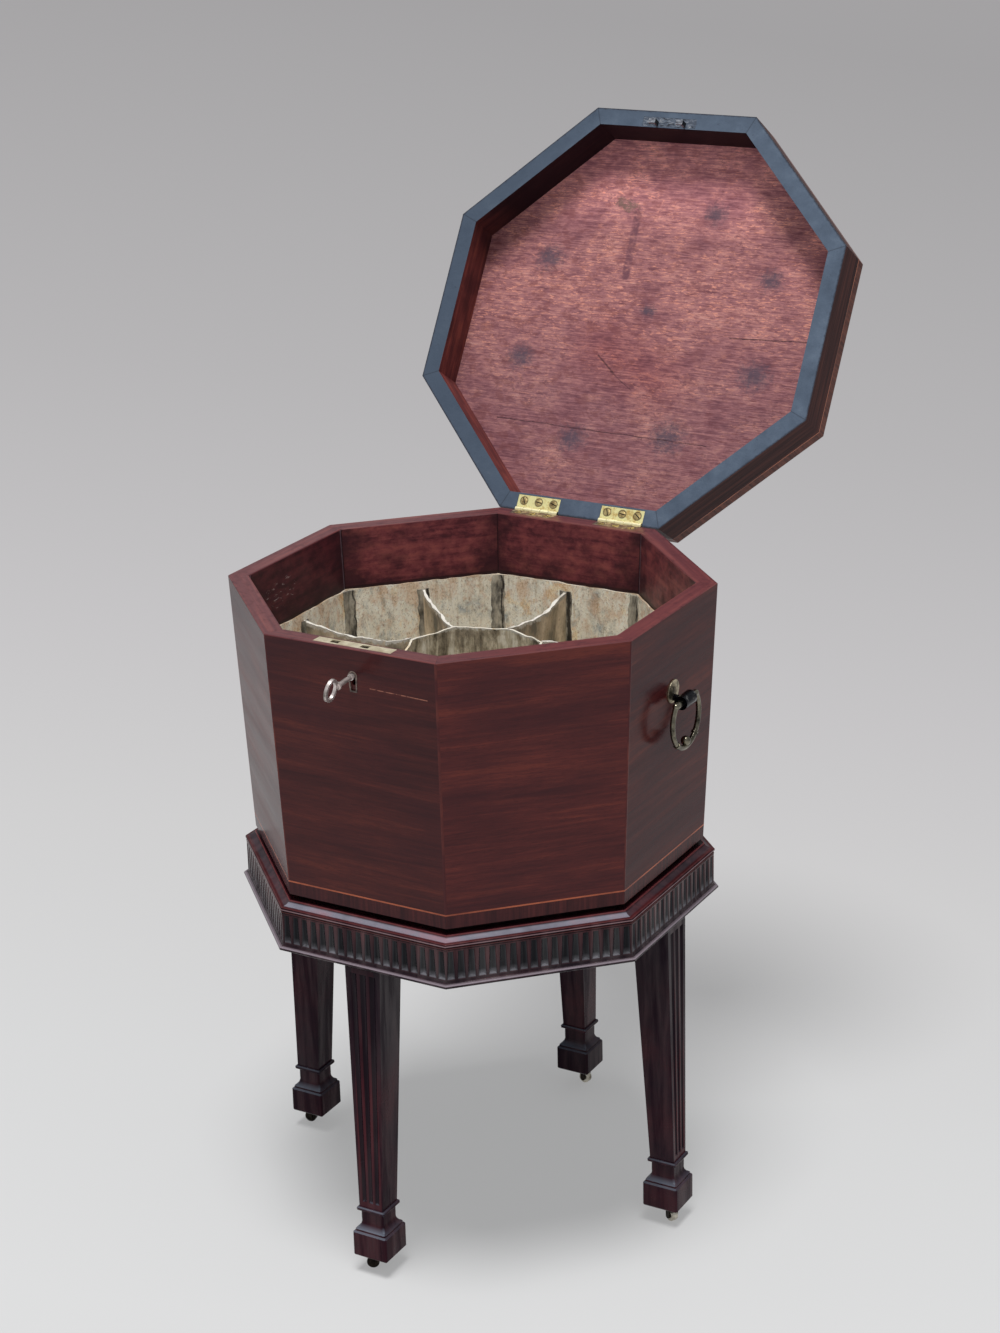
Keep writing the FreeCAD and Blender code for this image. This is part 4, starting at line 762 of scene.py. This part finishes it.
half_cell = cell_radius * math.cos(half_side)
cell = opened_tray("centre_cell", cell_foot + 0.0003, cell_top, half_cell, half_cell, False)
for vertex in cell.data.vertices:
    vertex.co = Matrix.Rotation(half_side, 3, "Z") @ vertex.co
for vertex in cell.data.vertices:
    rise = (vertex.co.z - cell_foot) / (cell_top - cell_foot)
    push = wobble(vertex.co, 0.035, 2.0)
    vertex.co.x += 0.0018 * rise * push.x
    vertex.co.y += 0.0018 * rise * push.y
    if rise > 0.99:
        vertex.co.z += 0.0022 * (wobble(vertex.co, 0.014, 5.0).z - 0.3)
thickened(cell, sheet_lead, -1)
dress(cell, cell_finish())
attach(cell, "box")
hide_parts("lead_centre_cell")


def divider_finish():
    """Cream lead under a broad white crust that follows the dip of the upper edge."""
    finish = Finish("divider_lead", Specular_IOR_Level=0.2)
    cloud = finish.mottle((0.03, 0.03, 0.05), 5, 0.6)
    speck = finish.mottle((0.004, 0.004, 0.005), 4, 0.7)
    finish.colour = finish.ramp(cloud, (0.36, (132, 126, 112)), (0.5, (196, 180, 154)),
                                (0.64, (236, 220, 194)))
    finish.stain(finish.span(speck, 0.56, 0.68, 0.0, 0.6), (138, 100, 74))
    white = finish.add("Attribute", {"attribute_name": "crust"}, {}).outputs["Fac"]
    worn = finish.plus(white, finish.times(finish.less(speck, 0.5), 2.4))
    crust = finish.mix(finish.span(cloud, 0.5, 0.64, 0.0, 0.7), tone(216, 212, 202), tone(150, 142, 126))
    finish.colour = finish.mix(finish.span(worn, 0.4, 0.64), finish.colour, crust)
    return finish.done(Roughness=0.8, Normal=finish.bump(speck, 0.0008))


def divider_top(along):
    """Height of a divider's upper edge, which dips between its ends."""
    return cell_top - 0.008 * 4 * along * (1 - along)


def joined(pieces, name):
    """Put like pieces together as one mesh."""
    bpy.ops.object.select_all(action="DESELECT")
    for piece in pieces:
        piece.select_set(True)
    bpy.context.view_layer.objects.active = pieces[0]
    bpy.ops.object.join()
    whole = bpy.context.object
    whole.name = name
    return whole


divider_sway = 0.0042
dividers = []
wall_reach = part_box("lead_dividers")[1].x
foot_end = wall_reach - (cell_top - cell_foot) * lean_in
for number in range(8):
    bpy.ops.object.select_all(action="DESELECT")
    bpy.ops.mesh.primitive_grid_add(x_subdivisions=48, y_subdivisions=24, size=1.0, location=(0, 0, 0))
    sheet = bpy.context.object
    for vertex in sheet.data.vertices:
        along, up = vertex.co.x + 0.5, vertex.co.y + 0.5
        reach = cell_radius + 0.0005 + along * (foot_end + (wall_reach - foot_end) * up - cell_radius)
        height = cell_foot + 0.0004 + up * (divider_top(along) - cell_foot - 0.0004)
        free = math.sin(math.pi * along) * up
        sway = divider_sway * free * noise.noise(Vector((along * 3.1, number * 5.3, up * 0.7)))
        if up > 0.99:
            height += 0.0016 * noise.noise(Vector((along * 11, number * 3.1, 0.5)))
            height += 0.0009 * noise.noise(Vector((along * 34, number * 7.7, 0.5)))
        vertex.co = (reach, sway, height)
    thickened(sheet, sheet_lead, 0)
    crust = sheet.data.attributes.new("crust", "FLOAT", "POINT")
    for vertex in sheet.data.vertices:
        along = (vertex.co.x - cell_radius) / (wall_reach - cell_radius)
        top = divider_top(along)
        near = max(0.0, 1 - (top - vertex.co.z) / 0.0065)
        crust.data[vertex.index].value = near
        swell = 1 + near * (0.35 + 1.5 * noise.noise(Vector((along * 15, number * 2.7, vertex.co.z * 60))))
        bow = divider_sway * math.sin(math.pi * min(max(along, 0), 1))
        bow *= noise.noise(Vector((along * 3.1, number * 5.3, 0.7)))
        bow *= min(1.0, (vertex.co.z - cell_foot) / (top - cell_foot))
        vertex.co.y = bow + (vertex.co.y - bow) * swell
    sheet.data.transform(Matrix.Rotation(math.radians(45 * number), 4, "Z"))
    dividers.append(sheet)
divider = joined(dividers, "bottle_dividers")
dress(divider, divider_finish())
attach(divider, "box")
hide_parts("lead_dividers")


# ---------------------------------------------------------------- solder
# Wiped seams of dark solder in the corners of the tray and where each divider meets the wall,
# rough, with a black split down one side.
def solder_finish():
    """Grey, dull and rough, and black along the split."""
    finish = Finish("wiped_solder", Specular_IOR_Level=0.3)
    cloud = finish.mottle((0.01, 0.01, 0.02), 5, 0.65)
    finish.colour = finish.ramp(cloud, (0.36, (88, 84, 76)), (0.5, (150, 144, 130)),
                                (0.62, (192, 184, 166)))
    split = finish.add("Attribute", {"attribute_name": "split"}, {}).outputs["Fac"]
    ragged = finish.mottle((0.003, 0.003, 0.005), 4, 0.7)
    split = finish.plus(split, finish.times(finish.less(ragged, 0.5), 1.6))
    finish.stain(finish.span(split, 0.25, 0.6, 0.0, 0.9), (34, 30, 27))
    return finish.done(Roughness=0.6, Normal=finish.bump(cloud, 0.0012))


def seam(angle, reach, half_width, bulge, low, high, seed, cornered):
    """One upright seam at an angle; it hugs a corner, or lies on a flat wall and is split wider."""
    bpy.ops.object.select_all(action="DESELECT")
    bpy.ops.mesh.primitive_grid_add(x_subdivisions=10, y_subdivisions=44, size=2.0, location=(0, 0, 0))
    strip = bpy.context.object
    split = strip.data.attributes.new("split", "FLOAT", "POINT")
    for vertex in strip.data.vertices:
        beside, up = vertex.co.x, (vertex.co.y + 1) / 2
        height = low + up * (high - low)
        ragged = 1 + 0.3 * noise.noise(Vector((seed, height * 95, beside * 0.5)))
        ragged += 0.2 * noise.noise(Vector((seed + 9, height * 300, beside)))
        place = beside * half_width * ragged
        depth = reach - (high - height) * lean_in - bulge * (1 - beside ** 4) - 0.0001
        depth -= 0.0006 * noise.noise(Vector((seed + 4, height * 160, beside * 2))) * (1 - beside ** 2)
        depth -= abs(place) * math.tan(half_side) if cornered else 0.0
        crack = abs(beside + 0.68 - 0.3 * noise.noise(Vector((seed + 2, height * 60, 0))))
        split.data[vertex.index].value = max(0.0, 1 - crack / (0.2 if cornered else 0.5))
        vertex.co = (depth, place, height)
    thickened(strip, 0.0012, 0)
    strip.data.transform(Matrix.Rotation(math.radians(angle), 4, "Z"))
    return strip


corner_reach = (lining_outside - 0.0024) / math.cos(half_side)
seams = []
for number in range(8):
    seams.append(seam(45 * (number + 0.5), corner_reach, 0.0074, 0.0018, lead_foot + 0.006,
                      lead_top - 0.0012, number * 3.7, True))
    seams.append(seam(45 * number, lining_outside - 0.0030, 0.0066, 0.0016, cell_foot + 0.002,
                      cell_top + 0.0006, number * 5.9 + 50, False))
solder = joined(seams, "solder_joints")
dress(solder, solder_finish())
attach(solder, "box")
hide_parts("solder_seams")


# ---------------------------------------------------------------- lock and key
# A brass plate let in to the top edge of the front wall over a steel case with its bolt, a brass
# escutcheon let in round the keyhole, and a steel key with an oval bow.
dress(softened("lock_plate", "brass_lock_plate", 0.0003),
      metal("pale_brass", (228, 216, 186), (176, 162, 132), (0.3, 0.5), cell=0.012, metallic=0.6))
dress(softened("keyhole_escutcheon", "brass_escutcheon", 0.0002),
      metal("escutcheon_brass", (150, 132, 122), (66, 56, 54), (0.4, 0.5), cell=0.008, metallic=0.5))
for name in ("lock_case", "lock_bolt"):
    dress(nodes[name], metal("lock_steel_" + name, (46, 43, 40), (22, 20, 19)))
dress(softened("key", "steel_key", 0.0003),
      metal("key_steel", (226, 214, 210), (128, 122, 116), (0.32, 0.5), cell=0.008, metallic=0.7))


# ---------------------------------------------------------------- ring handles
# A cast brass ring on each side of the box, hung from a turned post on a round rose that is fixed
# to the wall. The brass has gone dark, but for the roses and where it is rubbed; the posts' pale patches
# are painted glints.
ring_brass = metal("ring_brass", (146, 140, 122), (60, 57, 50), (0.2, 0.32), cell=0.02, share=(0.4, 0.62))
rose_brass = metal("rose_brass", (216, 204, 172), (84, 76, 62), (0.3, 0.45), cell=0.012)
# The posts' pale patches are painted glints.
post_brass_glints = metal("post_brass_glints", (140, 138, 134), (22, 22, 28), (0.2, 0.32), cell=0.006, share=(0.32, 0.44))
for side in ("right", "left"):
    dress(softened("handle_rose_" + side, "rose_" + side, 0.0003), rose_brass)
    dress(softened("handle_post_" + side, "post_" + side, 0.0004), post_brass_glints)
    dress(softened("handle_ring_" + side, "ring_" + side, 0.0002), ring_brass)


# ---------------------------------------------------------------- hinges
# Two solid brass butts, let in to the top of the back wall and to the lid's rim, three slotted
# screws to a leaf. The leaves on the lid are wiped bright and those on the box are dirty.
lid_open = math.radians(-121.4)
lid_line = (0, 0.2314, 0.67415)
screw_pitch = 0.018


class Lid(Finish):
    """A finish laid out on the shut lid: x to the right, y from the front to the hinges, z up."""

    def __init__(self, name, **sockets):
        super().__init__(name, **sockets)
        self.place = self.space(turn=(lid_open, 0, 0), at=lid_line)

    def laid(self, size, turn=(0, 0, 0), at=(0, 0, 0)):
        """Where a pattern lies on the shut lid."""
        return self.space(size, turn, at, self.place)

    def glaze(self, share, strength):
        """Make the colour so far weaker or stronger in red, green and blue."""
        self.colour = self.mix(share, self.colour, (*strength, 1.0), "MULTIPLY")


half_leaf = 0.0255
hinge_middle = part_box("hinge_lower_leaves")[1].x - half_leaf
hinge_leaf_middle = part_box("hinge_lower_screws")[0].y + 0.0039 - lid_line[1]


def leaf_brass(name, bright, dark, share):
    """Brass wiped bright, with a painted highlight along the knuckles and dirt left round each screw."""
    finish = Lid(name, Metallic=0.6)
    patch = finish.noise(finish.space((0.008, 0.008, 0.008)), 5, 0.65)
    x, y, z = (finish.axis(finish.place, which) for which in range(3))
    away = finish.math("SQRT", finish.plus(finish.times(y, y), finish.times(z, z)))
    # Painted highlight along the knuckles.
    knuckle_highlight = finish.span(away, 0.0029, 0.0033, 1.0, 0.0)
    patched = finish.mix(finish.span(patch, *share), tone(*bright), tone(*dark))
    finish.colour = finish.mix(knuckle_highlight, patched, tone(248, 238, 190))
    row = finish.axis(finish.space(at=lid_line), 1) if name.startswith("lower") else y
    dirt = 0.0
    for side in (-1, 1):
        for step in (-1, 0, 1):
            at = side * hinge_middle + step * screw_pitch
            ring = finish.stroke(x, row, (at, hinge_leaf_middle), (at + 0.0001, hinge_leaf_middle), 0.0060)
            dirt = finish.larger(ring, dirt)
    finish.stain(finish.span(dirt, 0.10, 0.28, 0.0, 0.9), (78, 56, 38))
    return finish.done(Roughness=finish.span(patch, 0.35, 0.65, 0.3, 0.42))


def slotted(node, name, turns, lid_side):
    """The screws of one kind of leaf, each with its driver slot sawn across the head."""
    screws = softened(node, name, 0.0001)
    dress(screws, screw_brass)
    for number, turn in enumerate(turns):
        leaf, step = divmod(number, 3)
        x = (-1, 1)[leaf] * hinge_middle + (step - 1) * screw_pitch
        bpy.ops.object.select_all(action="DESELECT")
        bpy.ops.mesh.primitive_cube_add(size=1.0, location=(0, 0, 0))
        saw = bpy.context.object
        saw.scale = (0.0074, 0.0011, 0.0014)
        bpy.ops.object.transform_apply(location=False, rotation=False, scale=True)
        # The saw hands its near-black painted shade to the slot's faces.
        dress(saw, slot_shade)
        saw.data.transform(Matrix.Rotation(math.radians(turn), 4, "Z"))
        if lid_side:
            head = Matrix.Translation(lid_line) @ Matrix.Rotation(lid_open, 4, "X")
            head = head @ Matrix.Translation((x, hinge_leaf_middle, 0.00015))
        else:
            head = Matrix.Translation((x, lid_line[1] + hinge_leaf_middle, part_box(node)[1].z))
        saw.data.transform(head)
        cut = screws.modifiers.new("slot", "BOOLEAN")
        cut.operation = "DIFFERENCE"
        cut.solver = "EXACT"
        cut.material_mode = "TRANSFER"
        cut.object = saw
        bpy.context.view_layer.objects.active = screws
        bpy.ops.object.modifier_apply(modifier="slot")
        bpy.data.objects.remove(saw)


dress(softened("hinge_upper_leaves", "upper_leaves", 0.0003),
      leaf_brass("upper_leaf_brass", (255, 246, 180), (206, 170, 96), (0.47, 0.64)))
dress(softened("hinge_lower_leaves", "lower_leaves", 0.0003),
      leaf_brass("lower_leaf_brass", (190, 170, 136), (102, 72, 64), (0.38, 0.54)))
dress(nodes["hinge_pins"], metal("pin_brass", (240, 230, 180), (150, 130, 90), (0.3, 0.4), grit=0.0))
screw_brass = metal("dirty_screw_brass", (236, 212, 150), (132, 106, 70), (0.3, 0.5), cell=0.005, grit=0.0)
# Near black for the slots' faces: painted shade in the slots.
slot_shade = Finish("slot_shade", Roughness=0.9, Base_Color=tone(24, 17, 14)).material
slotted("hinge_upper_screws", "upper_screws", (62, 8, 20, 70, 10, 38), True)
slotted("hinge_lower_screws", "lower_screws", (25, 80, 140, 5, 60, 110), False)


# ---------------------------------------------------------------- lid
# Eight mitred mahogany sides under a board. The edges that meet the box are painted slate blue,
# the inside is bare and stained, and a string and a dark band run round the outside.
lid_reach = 0.2315  # from the hinge line to the middle of the lid


def rim_paint():
    """Slate blue paint, a little chipped, worn dark along its outer edge and at the mitres."""
    finish = Lid("slate_rim_paint", Specular_IOR_Level=0.25)
    brush = finish.mottle((0.03, 0.03, 0.03), 5, 0.65)
    chip = finish.mottle((0.005, 0.005, 0.005), 4, 0.7)
    finish.colour = finish.ramp(brush, (0.3, (68, 80, 96)), (0.55, (80, 93, 110)), (0.75, (94, 107, 123)))
    finish.stain(finish.span(chip, 0.62, 0.72, 0.0, 0.5), (48, 52, 62))
    across = finish.unsigned(finish.axis(finish.place, 0))
    deep = finish.unsigned(finish.plus(finish.axis(finish.place, 1), lid_reach))
    small = finish.smaller(across, deep)
    large = finish.larger(across, deep)
    joint = finish.unsigned(finish.less(small, finish.times(large, math.tan(half_side))))
    left = finish.span(finish.axis(finish.place, 0), -0.19, 0.02, 0.45, 0.0)
    finish.stain(finish.times(left, finish.span(brush, 0.3, 0.6, 0.6, 1.0)), (44, 54, 68))
    finish.stain(finish.span(joint, 0.0002, 0.0009, 0.5, 0.0), (30, 34, 44))
    slanted = finish.times(finish.plus(across, deep), math.sqrt(0.5))
    out = finish.plus(finish.larger(large, slanted), finish.times(chip, 0.0035))
    finish.stain(finish.span(out, 0.2318, 0.2335, 0.0, 0.85), (38, 38, 48))
    return finish.done(Roughness=finish.span(brush, 0.3, 0.7, 0.45, 0.55), Normal=finish.bump(chip, 0.0003))


def lid_inside():
    """The inner sides of the lid: red-brown at the left, almost black round the front as painted shade,
    where those sides face down.
    """
    finish = Lid("lid_inner_sides", Specular_IOR_Level=0.12)
    streak = finish.mottle((0.06, 0.06, 0.006), 5, 0.6, 0.4)
    cloud = finish.mottle((0.03, 0.03, 0.03), 4, 0.6)
    finish.colour = finish.ramp(streak, (0.35, (84, 42, 42)), (0.5, (108, 54, 52)), (0.68, (136, 72, 62)))
    finish.stain(finish.span(cloud, 0.45, 0.65, 0.0, 0.6), (62, 32, 36))
    # Painted shade on the sides round the front, which face down when the lid is open.
    front = finish.span(finish.axis(finish.place, 1), -0.27, -0.35, 0.0, 0.93)
    finish.stain(front, (27, 15, 22))
    return finish.done(Roughness=0.5, Normal=finish.bump(streak, 0.0001))


def lid_outside():
    """The lid's outer sides: dark and hardly polished, the grain along each side."""
    finish = Lid("lid_outer_sides", Specular_IOR_Level=0.08)
    streak = finish.mottle((0.12, 0.12, 0.004), 5, 0.6, 0.3)
    finish.colour = finish.ramp(streak, (0.35, (44, 25, 26)), (0.5, (62, 35, 34)), (0.68, (84, 48, 42)))
    return finish.done(Roughness=0.5, Normal=finish.bump(streak, 0.00008))


lid_frame = softened("lid_frame", "lid_sides", 0.0006)
dress(lid_frame, lid_outside())
lid_frame.data.materials.append(rim_paint())
lid_frame.data.materials.append(lid_inside())
lid_up = Matrix.Rotation(lid_open, 3, "X") @ Vector((0, 0, 1))
lid_middle = Vector(lid_line) + Matrix.Rotation(lid_open, 3, "X") @ Vector((0, -lid_reach, 0))
for face in lid_frame.data.polygons:
    if face.normal.dot(lid_up) < -0.6:
        face.material_index = 1
    elif abs(face.normal.dot(lid_up)) < 0.6 and face.normal.dot(face.center - lid_middle) < 0:
        face.material_index = 2


def lid_ceiling():
    """Underside of the board: bare wood, mottled, cracked twice, with inky smudges and scratches, and
    painted light along its far edge and upper right.
    """
    finish = Lid("lid_ceiling", Specular_IOR_Level=0.15)
    x, y = finish.axis(finish.place, 0), finish.times(finish.axis(finish.place, 1), -1.0)
    grain = finish.mottle((0.045, 0.0014, 0.01), 5, 0.65, 0.3)
    mottle = finish.mottle((0.013, 0.0045, 0.01), 6, 0.68, 0.4)
    patch = finish.mottle((0.06, 0.045, 0.05), 5, 0.62, 0.4, at=(0.02, 0, 0))
    value = finish.plus(finish.times(grain, 0.35), finish.times(mottle, 0.35))
    value = finish.plus(value, finish.times(patch, 0.3))
    finish.colour = finish.ramp(value, (0.40, (110, 68, 76)), (0.46, (136, 88, 93)),
                                (0.51, (157, 105, 107)), (0.56, (178, 122, 117)), (0.64, (200, 146, 138)))
    fleck = finish.mottle((0.0085, 0.0020, 0.01), 5, 0.7, 0.5)
    middle = finish.span(finish.unsigned(finish.less(y, 0.27)), 0.03, 0.17, 0.1, -0.05)
    strewn = finish.span(finish.plus(patch, middle), 0.44, 0.62)
    bright = finish.times(finish.span(fleck, 0.54, 0.60), finish.times(strewn, 0.75))
    finish.stain(bright, (222, 150, 130))
    spot = finish.mottle((0.0075, 0.0045, 0.01), 6, 0.72, at=(0, 0, 3))
    spots = finish.times(finish.span(spot, 0.55, 0.60), finish.span(patch, 0.42, 0.58, 0.1, 0.6))
    finish.stain(spots, (112, 70, 78))
    blot = finish.mottle((0.017, 0.012, 0.01), 6, 0.7, 0.3, at=(3, 0, 0))
    blots = finish.times(finish.span(blot, 0.52, 0.60), finish.span(x, 0.16, -0.06, 0.15, 0.5))
    finish.stain(blots, (122, 70, 70))
    lower = finish.times(finish.span(y, 0.26, 0.14), finish.span(patch, 0.36, 0.56, 0.5, 1.0))
    finish.glaze(lower, (0.78, 0.82, 0.86))
    red = finish.stroke(x, y, (-0.04, 0.20), (0.03, 0.17), 0.055)
    finish.glaze(red, (0.84, 0.68, 0.70))
    dash = finish.mottle((0.012, 0.0010, 0.01), 3, 0.6)
    dashes = finish.times(finish.span(dash, 0.57, 0.63), finish.span(x, -0.15, 0.15, 0.3, 0.7))
    finish.stain(dashes, (108, 60, 62))
    # Painted light: much lighter along the edge away from the hinges and at the upper right, where the
    # lid's rim shades the board.
    painted_light_near_rim = finish.larger(finish.span(y, 0.33, 0.42),
                            finish.times(finish.span(x, 0.13, 0.18, 0.0, 0.7), finish.span(y, 0.27, 0.34)))
    finish.glaze(painted_light_near_rim, (1.8, 1.75, 1.75))
    ragged = finish.mottle((0.006, 0.006, 0.006), 5, 0.78)
    smudges = ((-0.135, 0.300, 0.027), (-0.141, 0.183, 0.025), (-0.055, 0.096, 0.026),
               (0.059, 0.109, 0.032), (0.142, 0.188, 0.029), (0.136, 0.296, 0.021), (0.053, 0.365, 0.021),
               (0.001, 0.249, 0.012))
    ink = 0.0
    for left, ahead, radius in smudges:
        ink = finish.larger(finish.stroke(x, y, (left, ahead), (left + 0.004, ahead), radius), ink)
    ink = finish.times(finish.span(finish.plus(finish.times(ink, 0.5), ragged), 0.64, 0.95, 0.0, 0.75),
                       finish.span(ink, 0.0, 0.25))
    finish.stain(ink, (72, 66, 80))
    blotch = finish.stroke(x, y, (-0.062, 0.370), (-0.046, 0.366), 0.016)
    blotch = finish.span(finish.plus(finish.times(blotch, 0.4), ragged), 0.68, 0.86, 0.0, 0.8)
    finish.stain(blotch, (112, 92, 84))
    brush = finish.stroke(x, y, (-0.038, 0.360), (-0.035, 0.286), 0.0055)
    brush = finish.times(finish.span(brush, 0.0, 0.4), finish.span(spot, 0.42, 0.54, 0.2, 0.8))
    finish.stain(brush, (106, 68, 78))
    for start, end, width, depth in (((-0.150, 0.1095), (0.108, 0.1055), 0.0009, 0.85),
                                     ((0.106, 0.2275), (0.2, 0.2315), 0.0010, 0.95),
                                     ((-0.045, 0.193), (-0.021, 0.175), 0.0016, 0.8),
                                     ((-0.026, 0.177), (0.004, 0.158), 0.0008, 0.6)):
        wave = finish.times(finish.less(finish.mottle((0.02, 0.02, 9), 3), 0.5), 0.003)
        line = finish.stroke(x, finish.plus(y, wave), start, end, width)
        line = finish.times(line, finish.span(ragged, 0.35, 0.55, depth * 0.5, depth * 1.3))
        finish.stain(line, (58, 34, 42))
    return finish.done(Roughness=0.6, Normal=finish.bump(grain, 0.0003))


def lid_top_finish():
    """The board's top face: polished, its grain running from side to side."""
    finish = Lid("lid_top_mahogany", Specular_IOR_Level=0.17)
    band = finish.mottle((0.6, 0.03, 0.2), 3, 0.5, 0.7)
    streak = finish.mottle((0.3, 0.005, 0.1), 5, 0.6, 0.5)
    value = finish.plus(finish.times(band, 0.5), finish.times(streak, 0.5))
    finish.colour = finish.ramp(value, (0.36, (62, 26, 29)), (0.5, (86, 36, 36)), (0.68, (122, 55, 42)))
    return finish.done(Roughness=0.18)


def lid_edge_finish():
    """Crossbanding round the edge of the board."""
    finish = Lid("lid_edge_band", Specular_IOR_Level=0.1)
    stripe = finish.mottle((0.004, 0.004, 0.08), 4, 0.6)
    finish.colour = finish.ramp(stripe, (0.35, (74, 42, 38)), (0.65, (112, 66, 54)))
    return finish.done(Roughness=0.4)


lid_board = softened("lid_board", "lid_top_board", 0.0006)
dress(lid_board, lid_edge_finish())
lid_board.data.materials.append(lid_ceiling())
lid_board.data.materials.append(lid_top_finish())
for face in lid_board.data.polygons:
    if face.normal.dot(lid_up) < -0.6:
        face.material_index = 1
    elif face.normal.dot(lid_up) > 0.6:
        face.material_index = 2
dress(nodes["lid_stringing"], string_finish("lid_string", (164, 100, 76), (100, 58, 48), 0.45, 0.7))


# ---------------------------------------------------------------- link plate
# Steel plate let in to the lid's front edge, with two hooked lugs that drop in to the lock. The
# paint has been brushed over it and has come off again in scratches.
def link_finish():
    """Painted where it is let in, bare steel on the lugs, with painted shade black towards their roots and
    on their right-hand faces.
    """
    finish = Lid("scratched_link_steel", Specular_IOR_Level=0.5)
    rub = finish.mottle((0.006, 0.003, 0.004), 5, 0.7, 0.6)
    painted = finish.ramp(rub, (0.38, (22, 24, 32)), (0.46, (62, 70, 84)), (0.56, (88, 98, 112)),
                          (0.68, (150, 150, 152)))
    bare = finish.ramp(rub, (0.4, (88, 90, 98)), (0.6, (168, 172, 180)))
    height = finish.axis(finish.place, 2)
    # Painted shade, black towards the lugs' roots.
    bare = finish.mix(finish.span(height, -0.0035, -0.0012, 0.0, 0.85), bare, tone(24, 24, 32))
    # Painted shade on the lugs' faces that turn to the right.
    turned = finish.span(finish.axis(finish.add("TexCoord", {}, {}).outputs["Normal"], 0), 0.3, 0.7)
    bare = finish.mix(turned, bare, tone(16, 16, 22))
    proud = finish.span(height, -0.0006, -0.0012)
    finish.colour = finish.mix(proud, painted, bare)
    return finish.done(Metallic=finish.times(proud, 0.7), Roughness=0.38, Normal=finish.bump(rub, 0.0004))


dress(softened("lid_link_plate", "link_plate", 0.0004), link_finish())
